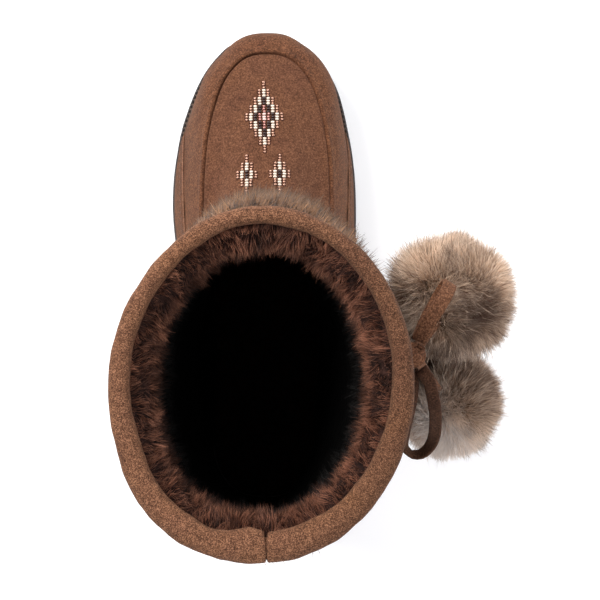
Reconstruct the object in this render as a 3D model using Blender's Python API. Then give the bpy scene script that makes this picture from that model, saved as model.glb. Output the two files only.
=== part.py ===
"""Mukluk boot for the right foot, standing empty on its sole.

The frame is +Z up, +Y towards the toe and +X towards the outer side, where the bow hangs.
The origin is on the floor under the heel. Every surface of the upper, and of what is sewn
over it, comes from one function of the foot's and the shaft's sizes, form_point.
"""

import math
from collections import namedtuple

import bmesh
import bpy
from mathutils import Vector

# Overall sizes, in metres
SOLE_LENGTH = 0.268
BALL_WIDTH = 0.104
BOOT_HEIGHT = 0.285
ANKLE_HEIGHT = 0.108
ANKLE_WIDTH = 0.086
SHAFT_DEPTH = 0.158
COLLAR_WIDTH = 0.1208
COLLAR_DEPTH = 0.1412
COLLAR_SHIFT = 0.005

# Sole
HEEL_HEIGHT = 0.022
FOREFOOT_HEIGHT = 0.014
TOE_SPRING = 0.009
ARCH_RISE = 0.003
LUG_DEPTH = 0.003
LUG_PITCH = 0.016
GROOVE_WIDTH = 0.005
LUG_DRAFT = 0.001
LEDGE = 0.0022
SOLE_DRAFT = 0.0015
INSOLE_THICKNESS = 0.004
HEEL_REST_SHARE = 0.15

# Walls, with the pile lining counted in them
FOOT_WALL = 0.007
SHAFT_WALL = 0.012
EDGE_WALL = 0.004
SUEDE = 0.0020
FOXING_THICKNESS = 0.0014
FOXING_HEIGHT = 0.036
FUR_DEPTH = 0.009
FUR_EDGE_DEPTH = 0.004

# Apron, the raised moccasin panel over the toes
APRON_WIDTH = 0.0688
APRON_SHIFT = 0.002
TOE_INSET = 0.0135
WALL_BULGE = 0.0018

# Bands round the shaft
CUFF_DEPTH = 0.049
CUFF_INNER_DEPTH = 0.014
CUFF_REAR_EXTRA = 0.004
LACE_WIDTH = 0.0064
LACE_THICKNESS = 0.0022
LACE_ROOM = 0.0005

# Clearances
GAP = 0.0003
INSOLE_FIT = 0.0010

# Bow and pompoms on the outer side
KNOT_SIZE = (0.0140, 0.0138, 0.0120)
KNOT_SEAT_GAP = 0.0004
KNOT_ALONG = 0.377
CORD_DIAMETER = 0.0032
FRONT_POMPOM_RADIUS = 0.0250
REAR_POMPOM_RADIUS = 0.0225

# Fineness of the facets
HALF_RING = 20
WALL_ROWS = 5
INSTEP_ROWS = 8
SHAFT_ROWS = 8

# Half widths of the sole as shares of the ball width, from the heel's back to the toe's tip
Edge = namedtuple("Edge", "along medial lateral")
EDGES = (
    Edge(0.000, 0.370, 0.370),
    Edge(0.150, 0.370, 0.385),
    Edge(0.260, 0.375, 0.405),
    Edge(0.370, 0.390, 0.445),
    Edge(0.485, 0.437, 0.480),
    Edge(0.570, 0.488, 0.497),
    Edge(0.630, 0.501, 0.499),
    Edge(1.000, 0.501, 0.499),
)
TOE_START, TOE_POWER = 0.62, 2.2
HEEL_END, HEEL_POWER = 0.17, 2.3

# Side view of the sole: where the heel's slope, the arch and the toe spring lie along it
HEEL_SLOPE_START, HEEL_SLOPE_END = 0.20, 0.54
ARCH_START, ARCH_END = 0.27, 0.48
SPRING_START = 0.66
TREADS = ((0.03, ARCH_START), (0.47, 0.95))
CLOSEST_STATIONS = 0.011

# The ring where wall and instep meet: its height as a share of the ankle's height, and how
# far it leans in from the sole's edge as a share of the ball width
Ring = namedtuple("Ring", "along height lean")
RINGS = (
    Ring(0.00, 0.58, 0.012),
    Ring(0.15, 0.61, 0.020),
    Ring(0.30, 0.65, 0.050),
    Ring(0.45, 0.64, 0.080),
    Ring(0.62, 0.575, 0.100),
    Ring(0.80, 0.530, 0.100),
    Ring(1.00, 0.480, 0.100),
)

# The apron's seam in plan, and where it fades out behind
APRON_POWER = 2.5
APRON_FADE = 0.36

# Roundness of the wall beside the apron, and slopes where the instep leaves the ring, in
# degrees, at the heel and at the apron
WALL_TURN = 76.0
RING_TILT = (8.0, 58.0)
INSTEP_CLIMB = (80.0, 27.0)
INSTEP_REACH = 0.36
ANKLE_DIP = 0.004

# Sections of the shaft, from the ankle to the collar. Width goes from the ankle's (0) to the
# collar's (1), and so does the shift to the outer side. Front and back run from the ankle's
# (0) to the collar's (1). The back shares say how far behind the origin the shaft begins, as
# shares of its depth at the ankle and at the collar. Columns of the form move back by
# SHAFT_TWIST as they climb from the foot.
Section = namedtuple("Section", "up width shift front back")
SECTIONS = (
    Section(0.00, 0.00, 0.00, 0.00, 0.00),
    Section(0.25, 0.23, 0.20, 0.30, 0.30),
    Section(0.42, 0.46, 0.40, 0.46, 0.44),
    Section(0.53, 0.60, 0.55, 0.55, 0.54),
    Section(0.75, 0.80, 0.80, 0.78, 0.77),
    Section(1.00, 1.00, 1.00, 1.00, 1.00),
)
ANKLE_BACK_SHARE = 0.228
COLLAR_BACK_SHARE = 0.153
SHAFT_TWIST = 1.45

# Height of the heel foxing above the sole, as a share of its height at the heel's back
Foxing = namedtuple("Foxing", "along top")
FOXING = (
    Foxing(0.00, 1.00),
    Foxing(0.20, 0.93),
    Foxing(0.40, 0.76),
    Foxing(0.62, 0.53),
    Foxing(0.74, 0.30),
    Foxing(0.83, 0.02),
    Foxing(0.86, -0.10),
)

# Roundness of the fur band's section
FUR_POWER = 3.0

UP = Vector((0.0, 0.0, 1.0))


def clear_scene():
    for item in list(bpy.data.objects):
        bpy.data.objects.remove(item, do_unlink=True)


def mix(a, b, share):
    return a * (1.0 - share) + b * share


def ease(value, low, high):
    """0 below low, 1 above high, and smooth between them."""
    share = min(max((value - low) / (high - low), 0.0), 1.0)
    return share * share * (3.0 - 2.0 * share)


def read(table, key, name):
    """Value of a named column at key, on a smooth curve through the table's rows."""
    keys = [row[0] for row in table]
    values = [getattr(row, name) for row in table]
    key = min(max(key, keys[0]), keys[-1])
    last = len(keys) - 1
    i = next((n for n in range(last) if key <= keys[n + 1]), last - 1)

    def slope(n):
        low, high = max(n - 1, 0), min(n + 1, last)
        return (values[high] - values[low]) / (keys[high] - keys[low])

    width = keys[i + 1] - keys[i]
    t = (key - keys[i]) / width
    return (
        values[i] * (2 * t**3 - 3 * t**2 + 1)
        + slope(i) * width * (t**3 - 2 * t**2 + t)
        + values[i + 1] * (3 * t**2 - 2 * t**3)
        + slope(i + 1) * width * (t**3 - t**2)
    )


def y_at(along):
    return (along - HEEL_REST_SHARE) * SOLE_LENGTH


def along_at(y):
    return y / SOLE_LENGTH + HEEL_REST_SHARE


def side_of(theta):
    """-1 on the inner side, +1 on the outer side."""
    return -1.0 if theta % (2 * math.pi) < math.pi else 1.0


def along_of(theta):
    return 0.5 * (1.0 - math.cos(theta))


def rounded(share, power):
    return max(1.0 - abs(share) ** power, 0.0) ** (1.0 / power)


def outline(theta):
    """Point of the sole's edge in plan: heel at 0, inner side, toe at pi, outer side."""
    along, side = along_of(theta), side_of(theta)
    half = BALL_WIDTH * read(EDGES, along, "medial" if side < 0 else "lateral")
    if along > TOE_START:
        half *= rounded((along - TOE_START) / (1.0 - TOE_START), TOE_POWER)
    if along < HEEL_END:
        half *= rounded((HEEL_END - along) / HEEL_END, HEEL_POWER)
    return Vector((side * half, y_at(along), 0.0))


def outward(theta):
    """Unit vector in plan, square to the sole's edge."""
    step = 0.02
    along_edge = outline(theta + step) - outline(theta - step)
    return Vector((-along_edge.y, along_edge.x, 0.0)).normalized()


def toe_spring(along):
    return TOE_SPRING * max((along - SPRING_START) / (1.0 - SPRING_START), 0.0) ** 2


def sole_bottom(along):
    arch = min(max((along - ARCH_START) / (ARCH_END - ARCH_START), 0.0), 1.0)
    return ARCH_RISE * math.sin(math.pi * arch) ** 2 + toe_spring(along)


def sole_top(y):
    along = along_at(y)
    slope = ease(along, HEEL_SLOPE_START, HEEL_SLOPE_END)
    return mix(HEEL_HEIGHT, FOREFOOT_HEIGHT, slope) + toe_spring(along)


def apron_share(along):
    return ease(along, APRON_FADE, TOE_START)


def feather_point(theta, grow):
    """Where the upper meets the sole."""
    point = outline(theta) + outward(theta) * (grow - LEDGE)
    point.z = sole_top(point.y) + GAP
    return point


def ring_point(theta, grow):
    """Where wall and instep meet: the apron's seam in front, a plain level behind."""
    along, side = along_of(theta), side_of(theta)
    normal = outward(theta)
    wall = outline(theta) - normal * (LEDGE + BALL_WIDTH * read(RINGS, along, "lean"))
    forward = max((along - TOE_START) / (1.0 - TOE_START), 0.0)
    seam_x = APRON_SHIFT + side * 0.5 * APRON_WIDTH * rounded(forward, APRON_POWER)
    seam_y = y_at(along) - forward * TOE_INSET
    share = apron_share(along)
    point = wall.lerp(Vector((seam_x, seam_y, 0.0)), share)
    point.z = ANKLE_HEIGHT * read(RINGS, along, "height")
    tilt = math.radians(mix(*RING_TILT, share))
    return point + (normal * math.cos(tilt) + UP * math.sin(tilt)) * grow


def wall_point(theta, q, grow):
    """Side wall from the sole (q = 0) to the ring (q = 1)."""
    low, high = feather_point(theta, grow), ring_point(theta, grow)
    share = apron_share(along_of(theta))
    turn = math.radians(WALL_TURN)
    inward = mix(q, (1.0 - math.cos(q * turn)) / (1.0 - math.cos(turn)), share)
    rise = mix(q, math.sin(q * turn) / math.sin(turn), share)
    bulge = outward(theta) * WALL_BULGE * math.sin(math.pi * q)
    point = low.lerp(high, inward) + bulge
    point.z = mix(low.z, high.z, rise)
    return point


def shaft_angle(theta):
    """Angle round the shaft that carries on from theta on the foot."""
    side = side_of(theta)
    half = theta if side < 0 else 2.0 * math.pi - theta
    share = 1.0 - (1.0 - half / math.pi) ** SHAFT_TWIST
    return share * math.pi if side < 0 else (2.0 - share) * math.pi


def shaft_point(theta, up, grow):
    """Point of the shaft, from the ankle (up = 0) to the collar (up = 1)."""
    angle = shaft_angle(theta)
    ankle_back = -SHAFT_DEPTH * ANKLE_BACK_SHARE
    ankle_front = ankle_back + SHAFT_DEPTH
    collar_back = -COLLAR_DEPTH * COLLAR_BACK_SHARE
    collar_front = collar_back + COLLAR_DEPTH - 2.0 * (SUEDE + GAP)
    half_ankle = 0.5 * ANKLE_WIDTH
    half_collar = 0.5 * COLLAR_WIDTH - SUEDE - GAP
    half = mix(half_ankle, half_collar, read(SECTIONS, up, "width")) + grow
    back = mix(ankle_back, collar_back, read(SECTIONS, up, "back")) - grow
    front = mix(ankle_front, collar_front, read(SECTIONS, up, "front")) + grow
    ankle_z = ANKLE_HEIGHT - ANKLE_DIP * (1.0 + math.cos(angle))
    return Vector((
        COLLAR_SHIFT * read(SECTIONS, up, "shift") - half * math.sin(angle),
        0.5 * (back + front) - 0.5 * (front - back) * math.cos(angle),
        mix(ankle_z, BOOT_HEIGHT - SUEDE - GAP, up),
    ))


def instep_point(theta, q, grow):
    """From the ring (q = 0) over the instep to the ankle (q = 1), on a Bezier curve."""
    start, end = ring_point(theta, grow), shaft_point(theta, 0.0, grow)
    share = apron_share(along_of(theta))
    climb = math.radians(mix(*INSTEP_CLIMB, share))
    leave = UP * math.sin(climb) - outward(theta) * math.cos(climb)
    arrive = (shaft_point(theta, 0.1, grow) - end).normalized()
    reach = INSTEP_REACH * (end - start).length
    first, second = start + leave * reach, end - arrive * reach
    r = 1.0 - q
    return start * r**3 + first * (3 * r * r * q) + second * (3 * r * q * q) + end * q**3


def form_point(theta, v, grow=0.0):
    """Outer surface of the upper, moved out by grow: wall 0 to 1, instep 1 to 2, shaft 2 to 3."""
    if v <= 1.0:
        return wall_point(theta, v, grow)
    if v <= 2.0:
        return instep_point(theta, v - 1.0, grow)
    return shaft_point(theta, v - 2.0, grow)


def v_at_height(z):
    """Place on the shaft, in form_point's terms, at a height."""
    top = BOOT_HEIGHT - SUEDE - GAP
    return 2.0 + (z - ANKLE_HEIGHT) / (top - ANKLE_HEIGHT)


def ring_angles():
    return [math.pi * i / HALF_RING for i in range(2 * HALF_RING)]


def form_ring(v, grow):
    return [form_point(theta, v, grow) for theta in ring_angles()]


def new_material(name, colour, roughness):
    material = bpy.data.materials.new(name)
    material.use_nodes = True
    shader = material.node_tree.nodes["Principled BSDF"]
    shader.inputs["Base Color"].default_value = (*colour, 1.0)
    shader.inputs["Roughness"].default_value = roughness
    shader.inputs["Metallic"].default_value = 0.0
    material.diffuse_color = (*colour, 1.0)
    return material


def finish_object(name, mesh, colour, roughness, location=(0.0, 0.0, 0.0)):
    item = bpy.data.objects.new(name, mesh)
    item.location = location
    bpy.context.scene.collection.objects.link(item)
    mesh.materials.append(new_material(name, colour, roughness))
    return item


def finish_mesh(name, bm, colour, roughness, location=(0.0, 0.0, 0.0), sharp=40.0):
    bmesh.ops.recalc_face_normals(bm, faces=bm.faces)
    mesh = bpy.data.meshes.new(name)
    bm.to_mesh(mesh)
    bm.free()
    mesh.shade_smooth()
    mesh.set_sharp_from_angle(angle=math.radians(sharp))
    return finish_object(name, mesh, colour, roughness, location)


def band(name, rings, colour, roughness):
    """Closed solid whose section is the loop that the rings give, in order."""
    bm = bmesh.new()
    rows = [[bm.verts.new(point) for point in ring] for ring in rings]
    for row, above in zip(rows, rows[1:] + rows[:1]):
        for i in range(len(row)):
            j = (i + 1) % len(row)
            bm.faces.new((row[i], row[j], above[j], above[i]))
    return finish_mesh(name, bm, colour, roughness)


def slab(name, stations, edge_top, edge_bottom, colour, roughness):
    """Closed solid between two edges, each a function of theta, with cross faces between them."""
    turns = [math.acos(1.0 - 2.0 * along) for along in stations]
    thetas = turns + [2.0 * math.pi - turn for turn in reversed(turns[1:-1])]
    count = len(thetas)
    last = len(stations) - 1
    bm = bmesh.new()
    top = [bm.verts.new(edge_top(theta)) for theta in thetas]
    bottom = [bm.verts.new(edge_bottom(theta)) for theta in thetas]
    for i in range(count):
        j = (i + 1) % count
        bm.faces.new((bottom[i], bottom[j], top[j], top[i]))
    for row in (top, bottom):
        for i in range(last):
            corners = [row[i], row[i + 1], row[(count - i - 1) % count], row[-i % count]]
            unique = list(dict.fromkeys(corners))
            bm.faces.new(unique)
    return finish_mesh(name, bm, colour, roughness, sharp=30.0)


def lug_grooves():
    """Front and back of each groove across the sole, in y."""
    grooves = []
    reach = math.ceil(SOLE_LENGTH / LUG_PITCH)
    for step in range(-reach, reach):
        middle = (step + 0.5) * LUG_PITCH
        along = along_at(middle)
        if any(start < along < end for start, end in TREADS):
            grooves.append((middle - 0.5 * GROOVE_WIDTH, middle + 0.5 * GROOVE_WIDTH))
    return grooves


def groove_depth(y):
    for back, front in lug_grooves():
        if back <= y <= front:
            inside = min(y - back, front - y)
            return LUG_DEPTH * min(inside / LUG_DRAFT, 1.0)
    return 0.0


def even_stations():
    return [along_of(math.pi * i / HALF_RING) for i in range(HALF_RING + 1)]


def sole_stations():
    """Places along the sole: groove corners, and even turns of the outline between them."""
    corners = []
    for back, front in lug_grooves():
        corners += [back, back + LUG_DRAFT, front - LUG_DRAFT, front]
    corners = [along_at(y) for y in corners]

    def is_free(along):
        return all(abs(along - corner) > CLOSEST_STATIONS for corner in corners)

    free = [along for along in even_stations() if is_free(along)]
    ends = {0.0, 1.0}
    return sorted(ends | {round(along, 6) for along in corners + free if 0.0 < along < 1.0})


def build_outsole():
    def top(theta):
        point = outline(theta)
        point.z = sole_top(point.y)
        return point

    def bottom(theta):
        point = outline(theta)
        along = along_of(theta)
        draft = outward(theta) * SOLE_DRAFT
        point = point - draft
        point.z = sole_bottom(along) + groove_depth(y_at(along))
        return point

    slab("outsole", sole_stations(), top, bottom, (0.065, 0.052, 0.054), 0.75)


def build_insole():
    inset = -(FOOT_WALL + INSOLE_FIT)

    def bottom(theta):
        return feather_point(theta, inset)

    def top(theta):
        return feather_point(theta, inset) + UP * INSOLE_THICKNESS

    slab("insole", even_stations(), top, bottom, (0.055, 0.030, 0.024), 0.95)


def upper_wall(v):
    """Thickness of the upper and its pile, from the sole to the collar."""
    shaft = mix(FOOT_WALL, SHAFT_WALL, ease(v, 1.6, 2.25))
    return mix(shaft, EDGE_WALL, ease(v, 2.84, 2.93))


def shaft_rows():
    """Rows of the shaft that its overlays share: even up to the cuff, then close together."""
    even = [2.0 + i / SHAFT_ROWS for i in range(SHAFT_ROWS - 1)]
    return even + [2.82, 2.88, 2.93, 3.0]


def wall_rows():
    return [i / WALL_ROWS for i in range(WALL_ROWS)]


def build_upper():
    heights = wall_rows()
    heights += [1.0 + i / INSTEP_ROWS for i in range(INSTEP_ROWS)]
    heights += shaft_rows()
    outer = [form_ring(v, 0.0) for v in heights]
    inner = [form_ring(v, -upper_wall(v)) for v in heights]
    band("upper", outer + inner[::-1], (0.235, 0.107, 0.058), 0.92)


def cut_above(item, profile, half_width):
    """Cut away what lies above a profile in y and z, given from back to front."""
    roof = 2.0 * BOOT_HEIGHT
    corners = profile + [(profile[-1][0], roof), (profile[0][0], roof)]
    bm = bmesh.new()
    left = [bm.verts.new((-half_width, y, z)) for y, z in corners]
    right = [bm.verts.new((half_width, y, z)) for y, z in corners]
    bm.faces.new(left)
    bm.faces.new(right[::-1])
    for i in range(len(corners)):
        j = (i + 1) % len(corners)
        bm.faces.new((left[j], left[i], right[i], right[j]))
    cutter = finish_mesh(item.name + "_cutter", bm, (0.5, 0.5, 0.5), 0.5)
    cutter.hide_render = True
    cutter.display_type = "WIRE"
    cut = item.modifiers.new("cut", "BOOLEAN")
    cut.operation = "DIFFERENCE"
    cut.object = cutter
    cut.solver = "EXACT"


def build_heel_foxing():
    """Suede piece round the heel, high at the back and down to the sole beside the toes."""
    rows = wall_rows() + [1.0]
    outer = [form_ring(v, GAP + FOXING_THICKNESS) for v in rows]
    inner = [form_ring(v, GAP) for v in rows]
    foxing = band("heel_foxing", outer + inner[::-1], (0.250, 0.115, 0.062), 0.92)
    behind, ahead = y_at(-0.1), y_at(1.1)
    profile = [(behind, sole_top(0.0) + FOXING_HEIGHT)]
    for row in FOXING:
        y = y_at(row.along)
        profile.append((y, sole_top(y) + FOXING_HEIGHT * row.top))
    profile.append((ahead, profile[-1][1]))
    cut_above(foxing, profile, BALL_WIDTH)


def shaft_ring_z(z, grow):
    return form_ring(v_at_height(z), grow)


def cuff_bottom():
    return BOOT_HEIGHT - CUFF_DEPTH


def build_collar_cuff():
    """Suede turned over the collar: a deep outer leg, a rounded top and a short inner leg."""
    low, high = v_at_height(cuff_bottom()), 3.0
    outer_grow = SUEDE + GAP
    under_grow = -(EDGE_WALL + GAP)
    inner_grow = under_grow - SUEDE
    inner_low = v_at_height(BOOT_HEIGHT - CUFF_INNER_DEPTH)

    def lifted(grow, rise):
        return [point + UP * rise for point in form_ring(high, grow)]

    def inner_face(v, rise):
        """The inner face, thicker at the back, where the seam is."""
        ring = []
        for theta in ring_angles():
            rear = (0.5 * (1.0 + math.cos(shaft_angle(theta)))) ** 2
            grow = inner_grow - CUFF_REAR_EXTRA * rear
            ring.append(form_point(theta, v, grow) + UP * rise)
        return ring

    steps = [low, mix(low, high, 0.33), mix(low, high, 0.66)]
    outer_leg = [form_ring(v, outer_grow) for v in steps]
    crown = [
        lifted(outer_grow, -0.4 * SUEDE),
        lifted(outer_grow - 0.45 * SUEDE, GAP + 0.62 * SUEDE),
        lifted(outer_grow - 1.3 * SUEDE, GAP + SUEDE),
        lifted(inner_grow + 1.3 * SUEDE, GAP + SUEDE),
        inner_face(high, GAP + 0.55 * SUEDE),
        inner_face(high, -0.6 * SUEDE),
    ]
    inner_leg = [inner_face(inner_low, 0.0), form_ring(inner_low, under_grow)]
    underside = [lifted(under_grow, GAP), lifted(GAP, GAP)]
    underside += [form_ring(v, GAP) for v in reversed(steps)]
    band("collar_cuff", outer_leg + crown + inner_leg + underside, (0.270, 0.125, 0.068), 0.92)


def lace_bottom():
    return cuff_bottom() - LACE_ROOM - LACE_WIDTH


def build_tie_lace():
    """Flat suede lace tied round the shaft, between fur and cuff."""
    low = lace_bottom()
    high = low + LACE_WIDTH
    rings = [
        shaft_ring_z(low, GAP + LACE_THICKNESS),
        shaft_ring_z(high, GAP + LACE_THICKNESS),
        shaft_ring_z(high, GAP),
        shaft_ring_z(low, GAP),
    ]
    band("tie_lace", rings, (0.300, 0.160, 0.090), 0.90)


def build_fur_band():
    """Fur round the shaft, from above the instep to just under the lace."""
    low, high = 2.0, v_at_height(lace_bottom() - LACE_ROOM)
    rows = [v for v in shaft_rows() if v < high] + [high]
    places = sorted(set(rows + [mix(low, rows[1], 0.4), mix(rows[-2], high, 0.7)]))

    def depth(v):
        share = (v - low) / (high - low)
        return mix(FUR_EDGE_DEPTH, FUR_DEPTH, rounded(2.0 * share - 1.0, FUR_POWER))

    outer = [form_ring(v, depth(v)) for v in places]
    inner = [form_ring(v, GAP) for v in rows]
    band("fur_band", outer + inner[::-1], (0.330, 0.250, 0.180), 0.95)


def build_ball(name, centre, size, colour, segments=16, rings=10):
    bm = bmesh.new()
    bmesh.ops.create_uvsphere(bm, u_segments=segments, v_segments=rings, radius=0.5)
    bmesh.ops.scale(bm, vec=size, verts=bm.verts)
    return finish_mesh(name, bm, colour, 0.95, location=centre, sharp=80.0)


def smooth_route(points, spacing):
    """Points about spacing apart on a smooth curve through the route's own points."""
    knots = [Vector(point) for point in points]
    fine = []
    for i in range(len(knots) - 1):
        before = knots[max(i - 1, 0)]
        start, end = knots[i], knots[i + 1]
        after = knots[min(i + 2, len(knots) - 1)]
        for step in range(12):
            t = step / 12.0
            fine.append(0.5 * (
                2.0 * start
                + (end - before) * t
                + (2.0 * before - 5.0 * start + 4.0 * end - after) * t**2
                + (3.0 * start - before - 3.0 * end + after) * t**3
            ))
    fine.append(knots[-1])
    length = sum((b - a).length for a, b in zip(fine, fine[1:]))
    count = max(round(length / spacing), 3)
    result, walked, target = [fine[0]], 0.0, length / count
    for a, b in zip(fine, fine[1:]):
        piece = (b - a).length
        while walked + piece >= target and len(result) < count:
            result.append(a.lerp(b, (target - walked) / piece))
            target += length / count
        walked += piece
    return result + [fine[-1]]


def build_cord(name, route, colour):
    """Plain tube along a route, standing for a flat lace."""
    points = smooth_route(route, 2.0 * CORD_DIAMETER)
    curve = bpy.data.curves.new(name, "CURVE")
    curve.dimensions = "3D"
    curve.bevel_depth = 0.5 * CORD_DIAMETER
    curve.bevel_resolution = 2
    curve.use_fill_caps = True
    spline = curve.splines.new("POLY")
    spline.points.add(len(points) - 1)
    for target, point in zip(spline.points, points):
        target.co = (*point, 1.0)
    return finish_object(name, curve, colour, 0.9)


# Pompoms, loops and laces, chosen by hand, in metres from the knot's middle
POMPOM_FRONT_PLACE = Vector((0.0227, 0.0245, -0.0528))
POMPOM_REAR_PLACE = Vector((0.0229, -0.0265, -0.0813))
LOOP_FRONT_ROUTE = (
    (0.0029, 0.0060, 0.0028),
    (0.0050, 0.0103, 0.0050),
    (0.0087, 0.0166, 0.0063),
    (0.0129, 0.0233, 0.0046),
    (0.0160, 0.0286, 0.0000),
    (0.0166, 0.0306, -0.0052),
    (0.0146, 0.0280, -0.0088),
    (0.0108, 0.0216, -0.0090),
    (0.0069, 0.0146, -0.0063),
    (0.0031, 0.0062, -0.0022),
)
LOOP_REAR_ROUTE = (
    (0.0040, -0.0061, 0.0004),
    (0.0082, -0.0116, -0.0016),
    (0.0124, -0.0240, -0.0108),
    (0.0142, -0.0330, -0.0213),
    (0.0142, -0.0410, -0.0313),
    (0.0112, -0.0467, -0.0388),
    (0.0067, -0.0483, -0.0418),
    (0.0030, -0.0453, -0.0388),
    (0.0014, -0.0383, -0.0313),
    (0.0016, -0.0290, -0.0208),
    (0.0018, -0.0200, -0.0113),
    (0.0014, -0.0129, -0.0054),
    (0.0001, -0.0067, -0.0026),
)
POMPOM_CORD_FRONT_ROUTE = (
    (0.0030, 0.0023, -0.0055),
    (0.0036, 0.0030, -0.0100),
    (0.0054, 0.0050, -0.0160),
    (0.0086, 0.0084, -0.0224),
    (0.0116, 0.0118, -0.0274),
    (0.0135, 0.0142, -0.0314),
)
POMPOM_CORD_REAR_ROUTE = (
    (0.0028, -0.0017, -0.0058),
    (0.0036, -0.0026, -0.0120),
    (0.0060, -0.0056, -0.0220),
    (0.0092, -0.0096, -0.0330),
    (0.0124, -0.0136, -0.0440),
    (0.0152, -0.0170, -0.0532),
    (0.0173, -0.0196, -0.0603),
)


def knot_centre():
    """The knot sits on the lace, on the outer side."""
    theta = 2.0 * math.pi - math.acos(1.0 - 2.0 * KNOT_ALONG)
    z = lace_bottom() + 0.5 * LACE_WIDTH
    seat = form_point(theta, v_at_height(z), GAP + LACE_THICKNESS)
    return Vector((seat.x + 0.5 * KNOT_SIZE[0] + KNOT_SEAT_GAP, seat.y, z))


def build_bow():
    knot = knot_centre()
    lace = (0.300, 0.160, 0.090)
    fur = (0.330, 0.250, 0.180)
    build_ball("bow_knot", knot, KNOT_SIZE, lace, segments=14, rings=8)
    for name, route in (
        ("bow_loop_front", LOOP_FRONT_ROUTE),
        ("bow_loop_rear", LOOP_REAR_ROUTE),
        ("pompom_cord_front", POMPOM_CORD_FRONT_ROUTE),
        ("pompom_cord_rear", POMPOM_CORD_REAR_ROUTE),
    ):
        build_cord(name, [knot + Vector(point) for point in route], lace)
    for name, place, radius in (
        ("pompom_front", POMPOM_FRONT_PLACE, FRONT_POMPOM_RADIUS),
        ("pompom_rear", POMPOM_REAR_PLACE, REAR_POMPOM_RADIUS),
    ):
        build_ball(name, knot + place, (2.0 * radius,) * 3, fur)


def main():
    clear_scene()
    build_outsole()
    build_insole()
    build_upper()
    build_heel_foxing()
    build_fur_band()
    build_collar_cuff()
    build_tie_lace()
    build_bow()


main()
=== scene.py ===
"""Looks of the mukluk boot: suede, rubber, beads, pile, fur, bow and pompoms.

Metres, +Z up, +Y towards the toe, +X towards the outer side. The surfaces follow the same
form as the solid model, only finer, and the hairs are joined meshes of thin ribbons.
"""

import math
from collections import namedtuple

import bmesh
import bpy
import numpy as np
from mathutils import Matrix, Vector
from mathutils.bvhtree import BVHTree
from mathutils.kdtree import KDTree


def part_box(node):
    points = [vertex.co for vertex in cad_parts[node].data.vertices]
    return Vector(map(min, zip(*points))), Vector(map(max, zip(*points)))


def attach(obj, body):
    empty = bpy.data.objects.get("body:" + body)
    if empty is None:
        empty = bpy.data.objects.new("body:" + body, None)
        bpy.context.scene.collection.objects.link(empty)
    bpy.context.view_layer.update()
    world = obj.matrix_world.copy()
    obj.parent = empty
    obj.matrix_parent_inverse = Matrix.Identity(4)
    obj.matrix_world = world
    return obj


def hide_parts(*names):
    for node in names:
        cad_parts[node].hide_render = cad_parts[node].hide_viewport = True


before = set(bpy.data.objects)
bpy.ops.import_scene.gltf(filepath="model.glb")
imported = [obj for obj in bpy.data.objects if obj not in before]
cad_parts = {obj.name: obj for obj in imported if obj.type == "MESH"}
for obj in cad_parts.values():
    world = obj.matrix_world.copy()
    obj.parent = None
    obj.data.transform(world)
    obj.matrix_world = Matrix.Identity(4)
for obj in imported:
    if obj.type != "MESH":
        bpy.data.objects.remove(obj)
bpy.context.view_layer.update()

# Sizes of the solid model, in metres
SOLE_LENGTH = 0.268
BALL_WIDTH = 0.104
BOOT_HEIGHT = 0.285
ANKLE_HEIGHT = 0.108
ANKLE_WIDTH = 0.086
SHAFT_DEPTH = 0.158
COLLAR_WIDTH = 0.1208
COLLAR_DEPTH = 0.1412
COLLAR_SHIFT = 0.005
HEEL_HEIGHT = 0.022
FOREFOOT_HEIGHT = 0.014
TOE_SPRING = 0.009
ARCH_RISE = 0.003
LUG_DEPTH = 0.003
LUG_PITCH = 0.016
GROOVE_WIDTH = 0.005
LUG_DRAFT = 0.001
LEDGE = 0.0022
SOLE_DRAFT = 0.0015
INSOLE_THICKNESS = 0.004
HEEL_REST_SHARE = 0.15
FOOT_WALL = 0.007
SHAFT_WALL = 0.012
SUEDE = 0.0020
FOXING_SKIN = 0.0008
FOXING_HEIGHT = 0.036
FOXING_END = 0.806
APRON_WIDTH = 0.0688
APRON_SHIFT = 0.002
TOE_INSET = 0.0135
CUFF_DEPTH = 0.049
CUFF_ROLL = 0.0050
CUFF_INSIDE = 0.0050
CUFF_REAR_INSIDE = 0.0052
CUFF_SEAM_TURN = 0.030
LACE_WIDTH = 0.0064
LACE_THICKNESS = 0.0022
LACE_ROOM = 0.0005
GAP = 0.0003
INSOLE_FIT = 0.0010

Edge = namedtuple("Edge", "along medial lateral")
EDGES = (
    Edge(0.000, 0.370, 0.370),
    Edge(0.150, 0.370, 0.385),
    Edge(0.260, 0.375, 0.405),
    Edge(0.370, 0.390, 0.445),
    Edge(0.485, 0.437, 0.480),
    Edge(0.570, 0.488, 0.497),
    Edge(0.630, 0.503, 0.499),
    Edge(0.700, 0.506, 0.498),
    Edge(0.760, 0.502, 0.494),
    Edge(0.810, 0.500, 0.4895),
    Edge(0.850, 0.494, 0.4915),
    Edge(0.890, 0.492, 0.497),
    Edge(1.000, 0.493, 0.499),
)
TOE_START = 0.62
TOE_POWERS = (2.3, 2.5)
TOE_SHOULDER = 0.06
TOE_SHOULDER_PLACE = (0.985, 0.014)
HEEL_END, HEEL_POWER = 0.17, 2.3
HEEL_SLOPE_START, HEEL_SLOPE_END = 0.20, 0.54
ARCH_START, ARCH_END = 0.27, 0.48
SPRING_START = 0.66
TREADS = ((0.03, ARCH_START), (0.47, 0.95))
Ring = namedtuple("Ring", "along height lean")
RINGS = (
    Ring(0.00, 0.58, 0.012),
    Ring(0.15, 0.61, 0.020),
    Ring(0.30, 0.65, 0.050),
    Ring(0.45, 0.64, 0.080),
    Ring(0.62, 0.575, 0.100),
    Ring(0.80, 0.530, 0.100),
    Ring(1.00, 0.480, 0.100),
)
APRON_POWER = 2.5
APRON_FADE = 0.36
WALL_TURN = 76.0
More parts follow.
